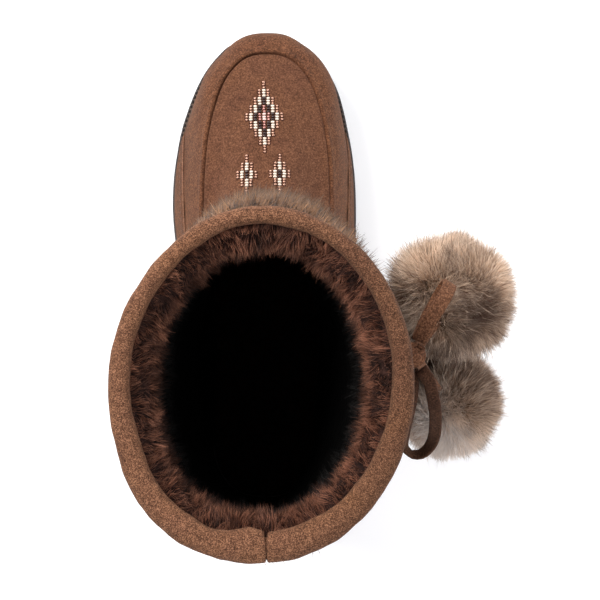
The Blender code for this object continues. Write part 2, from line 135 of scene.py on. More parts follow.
RING_TILT = (8.0, 58.0)
INSTEP_CLIMB = (80.0, 27.0)
INSTEP_REACH = 0.36
ANKLE_DIP = 0.004
Section = namedtuple("Section", "up width shift front back")
SECTIONS = (
    Section(0.00, 0.00, 0.00, 0.00, 0.00),
    Section(0.25, 0.23, 0.20, 0.30, 0.30),
    Section(0.42, 0.46, 0.40, 0.46, 0.44),
    Section(0.53, 0.60, 0.55, 0.55, 0.54),
    Section(0.75, 0.80, 0.80, 0.78, 0.77),
    Section(1.00, 1.00, 1.00, 1.00, 1.00),
)
ANKLE_BACK_SHARE = 0.228
COLLAR_BACK_SHARE = 0.153
SHAFT_TWIST = 1.45
Foxing = namedtuple("Foxing", "along top")
FOXING = (
    Foxing(0.00, 1.00),
    Foxing(0.20, 0.93),
    Foxing(0.40, 0.78),
    Foxing(0.60, 0.66),
    Foxing(0.69, 0.50),
    Foxing(0.755, 0.28),
    Foxing(0.814, 0.02),
    Foxing(0.845, -0.10),
)
# How far the wall swells between sole and seam: drawn in at the sides, full at the toe
Swell = namedtuple("Swell", "along medial lateral")
SWELLS = (
    Swell(0.00, 0.0018, 0.0018),
    Swell(0.12, 0.0010, 0.0010),
    Swell(0.35, -0.0015, -0.0012),
    Swell(0.62, -0.0040, -0.0018),
    Swell(0.72, -0.0045, -0.0014),
    Swell(0.78, -0.0038, -0.0004),
    Swell(0.83, -0.0020, 0.0003),
    Swell(0.87, -0.0006, 0.0012),
    Swell(0.906, 0.0008, 0.0024),
    Swell(0.94, 0.0012, 0.0031),
    Swell(0.98, 0.0012, 0.0030),
    Swell(1.00, 0.0046, 0.0046),
)
# How far the collar leans out of its even oval: turn from the back over the inner side
Lean = namedtuple("Lean", "turn out")
LEANS = (
    Lean(0.00, 0.0004),
    Lean(0.40, 0.0022),
    Lean(0.80, 0.0036),
    Lean(1.25, 0.0014),
    Lean(1.80, 0.0004),
    Lean(2.40, -0.0012),
    Lean(2.90, 0.0000),
    Lean(4.20, 0.0000),
    Lean(6.2832, 0.0004),
)

# Routes of the bow and of the pompoms' laces, from the knot's middle, as in the solid model
POMPOM_FRONT_PLACE = (0.0227, 0.0245, -0.0528)
POMPOM_REAR_PLACE = (0.0229, -0.0265, -0.0813)
LOOP_FRONT_ROUTE = (
    (0.0029, 0.0060, 0.0028),
    (0.0050, 0.0103, 0.0050),
    (0.0087, 0.0166, 0.0063),
    (0.0129, 0.0233, 0.0046),
    (0.0160, 0.0286, 0.0000),
    (0.0166, 0.0306, -0.0052),
    (0.0146, 0.0280, -0.0088),
    (0.0108, 0.0216, -0.0090),
    (0.0069, 0.0146, -0.0063),
    (0.0031, 0.0062, -0.0022),
)
LOOP_REAR_ROUTE = (
    (0.0040, -0.0061, 0.0004),
    (0.0082, -0.0116, -0.0016),
    (0.0124, -0.0240, -0.0108),
    (0.0142, -0.0330, -0.0213),
    (0.0142, -0.0410, -0.0313),
    (0.0112, -0.0467, -0.0388),
    (0.0067, -0.0483, -0.0418),
    (0.0030, -0.0453, -0.0388),
    (0.0014, -0.0383, -0.0313),
    (0.0016, -0.0290, -0.0208),
    (0.0018, -0.0200, -0.0113),
    (0.0014, -0.0129, -0.0054),
    (0.0001, -0.0067, -0.0026),
)
POMPOM_CORD_FRONT_ROUTE = (
    (0.0030, 0.0023, -0.0055),
    (0.0036, 0.0030, -0.0100),
    (0.0054, 0.0050, -0.0160),
    (0.0086, 0.0084, -0.0224),
    (0.0116, 0.0118, -0.0274),
    (0.0135, 0.0142, -0.0314),
)
POMPOM_CORD_REAR_ROUTE = (
    (0.0028, -0.0017, -0.0058),
    (0.0036, -0.0026, -0.0120),
    (0.0060, -0.0056, -0.0220),
    (0.0092, -0.0096, -0.0330),
    (0.0124, -0.0136, -0.0440),
    (0.0152, -0.0170, -0.0532),
    (0.0173, -0.0196, -0.0603),
)

# How far the rear loop lies off its route at its middle
LOOP_REAR_DRIFT = (-0.0026, 0.0014, 0.0)

# Low and high parts of a surface, each a bell: height, middle and width
Bump = namedtuple("Bump", "height middle width")
# Apron seam, by the distance from it
SEAM_ROLLS = (Bump(0.0007, -0.0019, 0.0015), Bump(0.0003, 0.0020, 0.0016))
SEAM_GROOVE_WIDTH, SEAM_LINE_WIDTH = 0.00045, 0.00042
# Groove's depth and the strength of its dark line, on the outer and on the inner side; the line is partly the
# seam's joint, partly painted shade in the groove, stronger on the inner side that the roll shades
SEAM_GROOVES, SEAM_JOINT_AND_SHADE_LINES = (0.0008, 0.0026), (0.35, 0.85)
# Pile under the collar, by form's v
PILE_ROLLS = (Bump(0.0010, 2.90, 0.045), Bump(-0.0022, 2.74, 0.06))
# Cuff's bulges, notch and cleft, by the distance from its seam
CUFF_SWELLS = (Bump(0.0013, 0.0, 0.0011), Bump(-0.0021, 0.0085, 0.0060), Bump(0.0012, 0.0260, 0.0080))
CUFF_CLEFTS = (Bump(0.0011, 0.0, 0.00030), Bump(0.0002, 0.0, 0.0014))
# Sole's section: how far in from its edge, share of its height from the bottom up, and an offset
SOLE_PROFILE = (
    (0.0030, 1.0, 0.0),
    (0.0009, 1.0, 0.0),
    (0.0003, 1.0, -0.0003),
    (0.0, 1.0, -0.0010),
    (0.0, 1.0, -0.0038),
    (0.0005, 1.0, -0.0042),
    (0.0005, 1.0, -0.0047),
    (0.0, 1.0, -0.0051),
    (SOLE_DRAFT * 0.5, 0.5, 0.0),
    (SOLE_DRAFT, 0.0, 0.0010),
    (SOLE_DRAFT + 0.0004, 0.0, 0.0002),
    (SOLE_DRAFT + 0.0012, 0.0, 0.0),
)
# Flat laces: half of a section, in widths and thicknesses, and the shaft lace's outer section
LACE_HALF = (
    (-0.50, -0.25), (-0.47, -0.46), (-0.25, -0.50), (0.0, -0.50), (0.25, -0.50), (0.47, -0.46), (0.50, -0.25),
)
TIE_LACE_SECTION = ((0.0, 0.7), (0.1, 1.0), (0.5, 1.06), (0.9, 1.0), (1.0, 0.7), (1.0, 0.0), (0.0, 0.0))
BOW_WIDTH, BOW_REAR_WIDTH, POMPOM_CORD_WIDTH, BOW_THICKNESS = 0.0062, 0.0057, 0.0045, 0.0017
STITCH_RADIUS = 0.00045
HAIR_STEPS = 2

PI = math.pi
TAU = 2.0 * math.pi


def mix(a, b, share):
    return a * (1.0 - share) + b * share


def ease(value, low, high):
    share = np.clip((value - low) / (high - low), 0.0, 1.0)
    return share * share * (3.0 - 2.0 * share)


def bell(value, middle, width):
    return np.exp(-(((value - middle) / width) ** 2))


def bumps(value, table):
    return sum(bump.height * bell(value, bump.middle, bump.width) for bump in table)


def unit(vectors):
    return vectors / np.maximum(np.linalg.norm(vectors, axis=-1, keepdims=True), 1e-12)


def read(table, key, name):
    """A named column at each key, on a smooth curve through the table's rows."""
    keys = np.array([row[0] for row in table], float)
    values = np.array([getattr(row, name) for row in table], float)
    slopes = np.empty_like(values)
    slopes[1:-1] = (values[2:] - values[:-2]) / (keys[2:] - keys[:-2])
    slopes[0] = (values[1] - values[0]) / (keys[1] - keys[0])
    slopes[-1] = (values[-1] - values[-2]) / (keys[-1] - keys[-2])
    key = np.clip(np.asarray(key, float), keys[0], keys[-1])
    i = np.clip(np.searchsorted(keys, key, side="left") - 1, 0, len(keys) - 2)
    width = keys[i + 1] - keys[i]
    t = (key - keys[i]) / width
    return (
        values[i] * (2 * t**3 - 3 * t**2 + 1)
        + slopes[i] * width * (t**3 - 2 * t**2 + t)
        + values[i + 1] * (3 * t**2 - 2 * t**3)
        + slopes[i + 1] * width * (t**3 - t**2)
    )


def y_at(along):
    return (along - HEEL_REST_SHARE) * SOLE_LENGTH


def along_at(y):
    return y / SOLE_LENGTH + HEEL_REST_SHARE


def side_of(theta):
    return np.where(np.mod(theta, TAU) < PI, -1.0, 1.0)


def along_of(theta):
    return 0.5 * (1.0 - np.cos(theta))


def by_side(table, theta):
    """A table's inner or outer column, at each turn round the foot."""
    along = along_of(theta)
    return np.where(side_of(theta) < 0, read(table, along, "medial"), read(table, along, "lateral"))


def rounded(share, power):
    return np.maximum(1.0 - np.abs(share) ** power, 0.0) ** (1.0 / power)


def xyz(x, y, z):
    return np.stack(np.broadcast_arrays(x, y, z), axis=-1).astype(float)


def outline(theta, shoulder=TOE_SHOULDER):
    """Edge of the sole; the shoulder is a slight fullness of the toe on its inner side."""
    along, side = along_of(theta), side_of(theta)
    forward = np.maximum(along - TOE_START, 0.0) / (1.0 - TOE_START)
    toe = np.where(side < 0, rounded(forward, TOE_POWERS[0]), rounded(forward, TOE_POWERS[1]))
    fuller = np.where(side < 0, 1.0 + shoulder * bell(along, *TOE_SHOULDER_PLACE), 1.0)
    heel = rounded(np.maximum(HEEL_END - along, 0.0) / HEEL_END, HEEL_POWER)
    return xyz(side * BALL_WIDTH * by_side(EDGES, theta) * toe * fuller * heel, y_at(along), 0.0)


def outward(theta):
    step = 0.02
    edge = outline(theta + step, 0.0) - outline(theta - step, 0.0)
    return unit(xyz(-edge[..., 1], edge[..., 0], 0.0))


def toe_spring(along):
    return TOE_SPRING * np.maximum((along - SPRING_START) / (1.0 - SPRING_START), 0.0) ** 2


def sole_bottom(along):
    arch = np.clip((along - ARCH_START) / (ARCH_END - ARCH_START), 0.0, 1.0)
    return ARCH_RISE * np.sin(PI * arch) ** 2 + toe_spring(along)


def sole_top(y):
    along = along_at(y)
    slope = ease(along, HEEL_SLOPE_START, HEEL_SLOPE_END)
    return mix(HEEL_HEIGHT, FOREFOOT_HEIGHT, slope) + toe_spring(along)


def apron_share(along):
    return ease(along, APRON_FADE, TOE_START)


def feather_point(theta, grow):
    point = outline(theta) + outward(theta) * np.asarray(grow - LEDGE)[..., None]
    point[..., 2] = sole_top(point[..., 1]) + GAP
    return point


def ring_point(theta, grow):
    along, side = along_of(theta), side_of(theta)
    normal = outward(theta)
    lean = LEDGE + BALL_WIDTH * read(RINGS, along, "lean")
    wall = outline(theta) - normal * lean[..., None]
    forward = np.maximum((along - TOE_START) / (1.0 - TOE_START), 0.0)
    seam_x = APRON_SHIFT + side * 0.5 * APRON_WIDTH * rounded(forward, APRON_POWER)
    seam = xyz(seam_x, y_at(along) - forward * TOE_INSET, 0.0)
    share = apron_share(along)
    point = mix(wall, seam, share[..., None])
    point[..., 2] = ANKLE_HEIGHT * read(RINGS, along, "height")
    tilt = np.radians(mix(*RING_TILT, share))
    away = normal * np.cos(tilt)[..., None]
    away[..., 2] = np.sin(tilt)
    return point + away * np.asarray(grow)[..., None]


def wall_point(theta, q, grow):
    low, high = feather_point(theta, grow), ring_point(theta, grow)
    share = apron_share(along_of(theta))
    turn = math.radians(WALL_TURN)
    inward = mix(q, (1.0 - np.cos(q * turn)) / (1.0 - math.cos(turn)), share)
    rise = mix(q, np.sin(q * turn) / math.sin(turn), share)
    swell = by_side(SWELLS, theta) * np.sin(PI * q)
    point = mix(low, high, inward[..., None]) + outward(theta) * swell[..., None]
    point[..., 2] = mix(low[..., 2], high[..., 2], rise)
    return point


def shaft_angle(theta):
    turn = np.mod(theta, TAU)
    half = np.where(turn < PI, turn, TAU - turn)
    share = 1.0 - (1.0 - half / PI) ** SHAFT_TWIST
    return np.where(turn < PI, share * PI, (2.0 - share) * PI)


def shaft_point(theta, up, grow):
    angle = shaft_angle(theta)
    ankle_back = -SHAFT_DEPTH * ANKLE_BACK_SHARE
    ankle_front = ankle_back + SHAFT_DEPTH
    collar_back = -COLLAR_DEPTH * COLLAR_BACK_SHARE
    collar_front = collar_back + COLLAR_DEPTH - 2.0 * (SUEDE + GAP)
    half_ankle = 0.5 * ANKLE_WIDTH
    half_collar = 0.5 * COLLAR_WIDTH - SUEDE - GAP
    half = mix(half_ankle, half_collar, read(SECTIONS, up, "width")) + grow
    back = mix(ankle_back, collar_back, read(SECTIONS, up, "back")) - grow
    front = mix(ankle_front, collar_front, read(SECTIONS, up, "front")) + grow
    ankle_z = ANKLE_HEIGHT - ANKLE_DIP * (1.0 + np.cos(angle))
    lean = read(LEANS, angle, "out") * up
    half = half + lean
    return xyz(
        COLLAR_SHIFT * read(SECTIONS, up, "shift") - half * np.sin(angle),
        0.5 * (back + front) - (0.5 * (front - back) + lean) * np.cos(angle),
        mix(ankle_z, BOOT_HEIGHT - SUEDE - GAP, up),
    )


def instep_point(theta, q, grow):
    start, end = ring_point(theta, grow), shaft_point(theta, np.zeros_like(q), grow)
    share = apron_share(along_of(theta))
    climb = np.radians(mix(*INSTEP_CLIMB, share))
    leave = -outward(theta) * np.cos(climb)[..., None]
    leave[..., 2] = np.sin(climb)
    arrive = unit(shaft_point(theta, np.full_like(q, 0.1), grow) - end)
    reach = INSTEP_REACH * np.linalg.norm(end - start, axis=-1, keepdims=True)
    first, second = start + leave * reach, end - arrive * reach
    q = q[..., None]
    r = 1.0 - q
    return start * r**3 + first * (3 * r * r * q) + second * (3 * r * q * q) + end * q**3


def form(theta, v, grow=0.0):
    """Outer surface of the upper, moved out by grow: wall 0 to 1, instep 1 to 2, shaft 2 to 3."""
    theta, v, grow = np.broadcast_arrays(*(np.asarray(a, float) for a in (theta, v, grow)))
    wall = wall_point(theta, np.clip(v, 0.0, 1.0), grow)
    instep = instep_point(theta, np.clip(v - 1.0, 0.0, 1.0), grow)
    shaft = shaft_point(theta, np.clip(v - 2.0, 0.0, 1.0), grow)
    point = np.where((v <= 1.0)[..., None], wall, instep)
    return np.where((v > 2.0)[..., None], shaft, point)


def form_normal(theta, v, grow=0.0):
    step_round, step_up = 0.01, 0.006
    v = np.clip(v, step_up, 3.0 - step_up)
    around = form(theta + step_round, v, grow) - form(theta - step_round, v, grow)
    up = form(theta, v + step_up, grow) - form(theta, v - step_up, grow)
    return unit(np.cross(up, around))


def v_at_height(z):
    top = BOOT_HEIGHT - SUEDE - GAP
    return 2.0 + (z - ANKLE_HEIGHT) / (top - ANKLE_HEIGHT)


def waves(points, length, seed, count=7):
    """Smooth bumps of about one length, between -1 and 1."""
    rng = np.random.default_rng(seed)
    total = np.zeros(points.shape[:-1])
    for _ in range(count):
        way = unit(rng.normal(size=3))
        pitch = TAU / (length * rng.uniform(0.7, 1.5))
        total += np.sin(points @ way * pitch + rng.uniform(0.0, TAU))
    return total / count * 1.6


# Meshes


def new_object(name, vertices, face_groups, materials, colours=None):
    """Object from vertices and groups of faces, each (array, material number)."""
    mesh = bpy.data.meshes.new(name)
    vertices = np.asarray(vertices, np.float32)
    mesh.vertices.add(len(vertices))
    mesh.vertices.foreach_set("co", vertices.ravel())
    corners, starts, numbers, at = [], [], [], 0
    for faces, number in face_groups:
        faces = np.asarray(faces, np.int32)
        corners.append(faces.ravel())
        starts.append(at + np.arange(len(faces), dtype=np.int32) * faces.shape[1])
        numbers.append(np.full(len(faces), number, np.int32))
        at += faces.size
    mesh.loops.add(at)
    mesh.loops.foreach_set("vertex_index", np.concatenate(corners))
    starts = np.concatenate(starts)
    mesh.polygons.add(len(starts))
    mesh.polygons.foreach_set("loop_start", starts)
    mesh.polygons.foreach_set("material_index", np.concatenate(numbers))
    mesh.polygons.foreach_set("use_smooth", np.ones(len(starts), bool))
    mesh.update(calc_edges=True)
    mesh.validate()
    if colours is not None:
        layer = mesh.color_attributes.new("strand", "FLOAT_COLOR", "POINT")
        layer.data.foreach_set("color", np.asarray(colours, np.float32).ravel())
    for material in materials:
        mesh.materials.append(material)
    item = bpy.data.objects.new(name, mesh)
    bpy.context.scene.collection.objects.link(item)
    return item


def outward_faces(mesh):
    bm = bmesh.new()
    bm.from_mesh(mesh)
    bmesh.ops.recalc_face_normals(bm, faces=bm.faces)
    bm.to_mesh(mesh)
    bm.free()


def make(name, vertices, face_groups, materials, slot, *nodes, closed=True, sharp=None, colours=None):
    """A piece that rides on the boot and stands for solids."""
    piece = new_object(name, vertices, face_groups, materials, colours)
    if closed:
        outward_faces(piece.data)
    if sharp is not None:
        piece.data.set_sharp_from_angle(angle=math.radians(sharp))
    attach(piece, "root")
    for node in nodes:
        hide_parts(node)
    return piece


def grid_faces(rows, columns, around=True, along=False):
    """Quads of a grid of rows and columns, closed around each row, and from last to first row."""
    i = np.arange(rows if along else rows - 1)
    j = np.arange(columns if around else columns - 1)
    i, j = np.meshgrid(i, j, indexing="ij")
    above, beside = (i + 1) % rows, (j + 1) % columns
    a, b = i * columns + j, i * columns + beside
    c, d = above * columns + beside, above * columns + j
    return np.stack([a, b, c, d], axis=-1).reshape(-1, 4)


def end_caps(count, base):
    """Quads and triangles across an outline of count points, from side to side."""
    half = count // 2
    i = np.arange(1, half - 1)
    quads = np.stack([i, i + 1, count - i - 1, count - i], axis=1)
    return quads + base, np.array([[0, 1, count - 1], [half - 1, half, half + 1]]) + base


def grids(theta, v):
    """Turns and heights as grids with a row for each height."""
    grid_v, grid_t = np.meshgrid(v, theta, indexing="ij")
    return grid_t, grid_v


def on_line(places, stops, points):
    """Points at places along a line of points."""
    return np.stack([np.interp(places, stops, points[:, k]) for k in range(3)], axis=1)


# Materials


def linear(colour):
    """Three numbers from 0 to 255 as a shader takes them; four are left as they are."""
    if len(colour) == 4:
        return colour
    shares = [value / 255.0 for value in colour]
    return (*(s / 12.92 if s <= 0.04045 else ((s + 0.055) / 1.055) ** 2.4 for s in shares), 1.0)


class Shade:
    """A material's nodes, made one after another."""

    def __init__(self, name):
        self.material = bpy.data.materials.new(name)
        self.material.use_nodes = True
        self.tree = self.material.node_tree
        self.shader = self.tree.nodes["Principled BSDF"]
        self.coords = self.tree.nodes.new("ShaderNodeTexCoord").outputs["Object"]

    def fill(self, socket, value):
        if isinstance(value, bpy.types.NodeSocket):
            self.tree.links.new(value, socket)
        else:
            socket.default_value = value

    def node(self, kind, **inputs):
        made = self.tree.nodes.new("ShaderNode" + kind)
        for name, value in inputs.items():
            self.fill(made.inputs[name.replace("_", " ")], value)
        return made

    def noise(self, size, detail=2.0, rough=0.5, warp=0.0):
        made = self.node(
            "TexNoise", Vector=self.coords, Scale=1.0 / size, Detail=detail, Roughness=rough, Distortion=warp
        )
        return made.outputs["Fac"]

    def ramp(self, value, *stops):
        """Colours by value: each stop is a place and a colour."""
        made = self.node("ValToRGB", Fac=value)
        bar = made.color_ramp
        while len(bar.elements) < len(stops):
            bar.elements.new(0.5)
        for element, (place, colour) in zip(bar.elements, stops):
            element.position = place
            element.color = linear(colour)
        return made.outputs["Color"]

    def along_axes(self, low, high, *stops, x=0.0, y=0.0, z=0.0):
        """Colours by a sum of the coordinates, from a low value of it to a high one."""
        place = self.node("SeparateXYZ", Vector=self.coords).outputs
        total = self.math("ADD", self.math("MULTIPLY", place["X"], x), self.math("MULTIPLY", place["Y"], y))
        total = self.math("ADD", total, self.math("MULTIPLY", place["Z"], z))
        return self.ramp(self.math("DIVIDE", self.math("SUBTRACT", total, low), high - low), *stops)

    def painted_depth_shade(self, low, high):
        """Painted shade deep in the shaft: near black at the low height, white at the high one; lower towards
        the outer rear.
        """
        return self.along_axes(low + 0.0022, high + 0.0022, *DEPTH_SHADE_STOPS, x=0.12, y=-0.05, z=1.0)

    def blend(self, share, first, second, mode="MIX"):
        made = self.tree.nodes.new("ShaderNodeMix")
        made.data_type = "RGBA"
        made.blend_type = mode
        for number, value in ((0, share), (6, first), (7, second)):
            self.fill(made.inputs[number], value)
        return made.outputs[2]

    def times(self, first, second):
        return self.blend(1.0, first, second, "MULTIPLY")

    def math(self, kind, first, second):
        made = self.tree.nodes.new("ShaderNodeMath")
        made.operation = kind
        self.fill(made.inputs[0], first)
        self.fill(made.inputs[1], second)
        return made.outputs[0]

    def strand(self):
        """Red, green and blue of the strand colours."""
        made = self.tree.nodes.new("ShaderNodeVertexColor")
        made.layer_name = "strand"
        return self.node("SeparateColor", Color=made.outputs["Color"]).outputs

    def finish(self, colour, roughness, bump_list=(), **settings):
        """Link the colour and a chain of bumps, each (height, depth, strength)."""
        self.fill(self.shader.inputs["Base Color"], colour)
        self.shader.inputs["Roughness"].default_value = roughness
        normal = None
        for height, depth, strength in bump_list:
            bump = self.node("Bump", Height=height, Distance=depth, Strength=strength)
            if normal is not None:
                self.tree.links.new(normal, bump.inputs["Normal"])
            normal = bump.outputs["Normal"]
        if normal is not None:
            self.tree.links.new(normal, self.shader.inputs["Normal"])
        for name, value in settings.items():
            self.shader.inputs[name.replace("_", " ")].default_value = value
        return self.material


WHITE = (1.0, 1.0, 1.0, 1.0)
# Painted shade deep in the shaft, from near black below to white above
DEPTH_SHADE_STOPS = ((0.0, (0.01, 0.01, 0.01, 1.0)), (0.60, (0.20, 0.17, 0.15, 1.0)), (1.0, WHITE))
CLOUD_STOPS = ((0.30, (0.88, 0.86, 0.89, 1.0)), (0.52, WHITE), (0.75, (1.08, 1.07, 1.00, 1.0)))
# Colour of the seam's dark line: its joint and painted shade in its groove
SEAM_JOINT_AND_SHADE_BROWN = (70, 36, 20)


def suede(name, *tones, grain=0.0009, depth=0.0003, side_shade=None):
    """Napped leather in dark, middle and light tones: fine speckle, tufts and brushed clouds.

    A given factor darkens the leather from its inner to its outer side: painted shade of the side turned from
    the key lamp. The red of the strand colours marks the seam's line, drawn dark: partly its dark joint,
    partly painted shade in its groove.
    """
    shade = Shade(name)
    speckle = shade.noise(grain, 2.0, 0.75)
    tuft = shade.noise(grain * 5.0, 3.0, 0.6)
    patch = shade.noise(0.022, 3.0, 0.55, 0.6)
    mixed = shade.math("ADD", shade.math("MULTIPLY", speckle, 0.80), shade.math("MULTIPLY", tuft, 0.20))
    colour = shade.ramp(mixed, *zip((0.36, 0.50, 0.64), tones))
    colour = shade.times(colour, shade.ramp(patch, *CLOUD_STOPS))
    # painted shade: darker towards the outer side, away from the key lamp
    if side_shade is not None:
        stops = (0.0, WHITE), (1.0, (side_shade, side_shade * 0.98, side_shade * 0.95, 1.0))
        colour = shade.times(colour, shade.along_axes(0.010, 0.070, *stops, x=1.0))
    # the seam's dark line by the red of the strand colours: its joint and painted shade in its groove
    colour = shade.blend(shade.strand()["Red"], colour, linear(SEAM_JOINT_AND_SHADE_BROWN))
    return shade.finish(
        colour,
        0.93,
        ((tuft, depth * 1.6, 0.35), (speckle, depth, 0.8)),
        Specular_IOR_Level=0.15,
        Sheen_Weight=0.04,
        Sheen_Roughness=0.5,
        Sheen_Tint=(0.95, 0.70, 0.52, 1.0),
    )


def fleece(name, fine_size, tuft_size, warp, stops, roughness, depth, strength, shade_depths=None):
    """Ground under hairs, in tufts; given two heights, it darkens between them down to near black: painted
    shade deep in the shaft.
    """
    shade = Shade(name)
    fine, tuft = shade.noise(fine_size, 4.0, 0.7), shade.noise(tuft_size, 3.0, 0.6, warp)
    colour = shade.ramp(tuft, *stops)
    if shade_depths is not None:
        colour = shade.times(colour, shade.painted_depth_shade(*shade_depths))
    bump_list = ((tuft, depth, strength), (fine, 0.001, 0.8))
    return shade.finish(colour, roughness, bump_list, Specular_IOR_Level=0.1)


def thread(name, dark, light, roughness=0.7, **settings):
    shade = Shade(name)
    twist = shade.noise(0.0004, 2.0, 0.6)
    colour = shade.ramp(twist, (0.3, dark), (0.7, light))
    return shade.finish(colour, roughness, ((twist, 0.0001, 0.6),), **settings)


def rubber(name, size, stops, roughness, shine):
    shade = Shade(name)
    fine, broad = shade.noise(0.0006, 3.0, 0.6), shade.noise(size, 3.0, 0.6)
    colour = shade.ramp(broad, *stops)
    return shade.finish(colour, roughness, ((fine, 0.0002, 0.35),), Specular_IOR_Level=shine)


def bead(name, colour):
    shade = Shade("bead_" + name)
    cloud = shade.noise(0.0009, 2.0, 0.5)
    high = linear(colour)
    low = (*(c * 0.82 for c in high[:3]), 1.0)
    metal = 0.55 if name in SMALL_BEADS else 0.0
    settings = {"Specular_IOR_Level": 0.5, "Coat_Weight": 0.25, "Metallic": metal}
    return shade.finish(shade.ramp(cloud, (0.35, low), (0.65, high)), 0.25, (), **settings)


def build_materials():
    brown = ((68, 42, 29), (93, 60, 42), (118, 79, 58))
    mats = {
        "vamp": suede("suede_vamp", *brown),
        "side": suede("suede_side", (60, 36, 24), (90, 57, 38), (124, 81, 57)),
        # the cuff's outer side is darkened by the factor at its end: painted shade
        "cuff": suede(
            "suede_cuff", (51, 31, 21), (99, 66, 47), (158, 113, 86), grain=0.0005, depth=0.0005, side_shade=0.64
        ),
        "lace": suede("suede_lace", (62, 39, 26), (92, 60, 42), (130, 90, 66), grain=0.0008),
        # a darker copy of the lace suede for the rear loop: painted shade
        "shaded_lace": suede("suede_lace_shaded", (44, 27, 18), (64, 41, 29), (90, 60, 44), grain=0.0008),
        "edge": suede("suede_cut_edge", (112, 78, 60), (140, 102, 80), (160, 122, 100)),
    }
    stops = (0.3, (42, 36, 36)), (0.6, (56, 48, 47)), (0.8, (70, 61, 59))
    mats["rubber"] = rubber("dark_rubber", 0.012, stops, 0.62, 0.35)
    # the ledge's top face: paler rubber than the sole's sides
    mats["ledge"] = rubber("pale_ledge_rubber", 0.0006, ((0.3, (84, 70, 62)), (0.7, (112, 94, 84))), 0.8, 0.2)

    stops = (0.3, (22, 14, 12)), (0.55, (44, 28, 24)), (0.75, (66, 44, 38))
    # pile base: darkened deep in the shaft, painted shade
    mats["pile_base"] = fleece("pile_base", 0.0016, 0.006, 1.0, stops, 0.96, 0.003, 0.8, (0.225, 0.250))
    # insole: near black, painted shade deep in the shaft
    stops = (0.3, (14, 9, 8)), (0.7, (34, 22, 20))
    mats["insole"] = fleece("insole_fleece", 0.0012, 0.005, 1.0, stops, 0.97, 0.002, 0.7)
    stops = (0.3, (70, 54, 42)), (0.55, (112, 90, 70)), (0.75, (140, 118, 96))
    mats["fur_base"] = fleece("fur_base", 0.0012, 0.009, 1.2, stops, 0.95, 0.003, 0.7)

    # pile hair: black deep in the shaft, painted shade
    mats["pile"] = strands(
        "pile_hair",
        ((0.0, (44, 24, 18)), (0.5, (100, 58, 42)), (1.0, (184, 124, 96))),
        ((0.0, (24, 13, 10)), (0.5, (48, 27, 20)), (1.0, (76, 46, 35))),
        0.010,
        0.25,
        shade_depths=(0.226, 0.270),
    )
    mats["fur"] = strands(
        "fur_hair",
        ((0.0, (128, 88, 56)), (0.38, (166, 120, 82)), (0.72, (126, 92, 64)), (1.0, (74, 57, 44))),
        ((0.0, (52, 34, 22)), (0.40, (58, 38, 25)), (0.70, (35, 25, 18)), (1.0, (20, 15, 12))),
        0.010,
        0.3,
    )
    mats["pompom"] = strands(
        "pompom_hair",
        ((0.0, (138, 102, 78)), (0.5, (218, 186, 157)), (0.85, (238, 213, 190)), (1.0, (202, 182, 166))),
        ((0.0, (40, 22, 13)), (0.5, (80, 46, 28)), (0.8, (84, 52, 34)), (1.0, (50, 36, 28))),
        0.012,
        0.28,
        pale=(236, 229, 224),
    )

    mats["thread"] = thread("dark_thread", (12, 8, 7), (30, 20, 17))
    mats["pale_thread"] = thread("brown_thread", (80, 54, 40), (112, 78, 60))
    # dark patches under the beads: partly their thread, partly painted shade in the gaps between beads
    mats["bead_thread"] = thread("bead_thread", (40, 18, 12), (66, 34, 24), 0.9, Specular_IOR_Level=0.1)
    for name, colour in BEAD_COLOURS:
        mats["bead_" + name] = bead(name, colour)
    mats["floor"] = Shade("studio_floor").finish(
        (0.93, 0.93, 0.94, 1.0), 0.9, Specular_IOR_Level=0.0, Emission_Color=WHITE, Emission_Strength=0.16
    )
    return mats


def strands(name, light_stops, dark_stops, patch_size, patch_share, shade_depths=None, pale=None):
    """Hair: colours run from root to tip, and each hair and patch lies between two sets.

    Given two heights, the hair is black below the first and whole above the second: painted shade deep in the
    shaft.
    With pale, hairs turn to that colour by the blue of their strand colours.
    """
    shade = Shade(name)
    strand = shade.strand()
    patch = shade.ramp(shade.noise(patch_size, 2.0, 0.6, 0.8), (0.36, (0, 0, 0, 1)), (0.64, WHITE))
    tone = shade.math("MULTIPLY", strand["Green"], 1.0 - patch_share)
    tone = shade.math("ADD", tone, shade.math("MULTIPLY", patch, patch_share))
    light, dark = shade.ramp(strand["Red"], *light_stops), shade.ramp(strand["Red"], *dark_stops)
    colour = shade.blend(tone, light, dark)
    if shade_depths is not None:
        colour = shade.times(colour, shade.painted_depth_shade(*shade_depths))
    if pale is not None:
        colour = shade.blend(strand["Blue"], colour, linear(pale))
    return shade.finish(colour, 0.6, (), Specular_IOR_Level=0.2, Sheen_Weight=0.04)


# Hair


Hair = namedtuple("Hair", "roots ways lengths bends tips tones")
FUR_HAIRS, FUR_HAIR_WIDTH = 63000, 0.00034
PILE_HAIRS, PILE_HAIR_WIDTH = 62000, 0.00036
POMPOM_HAIR_WIDTH = 0.00032


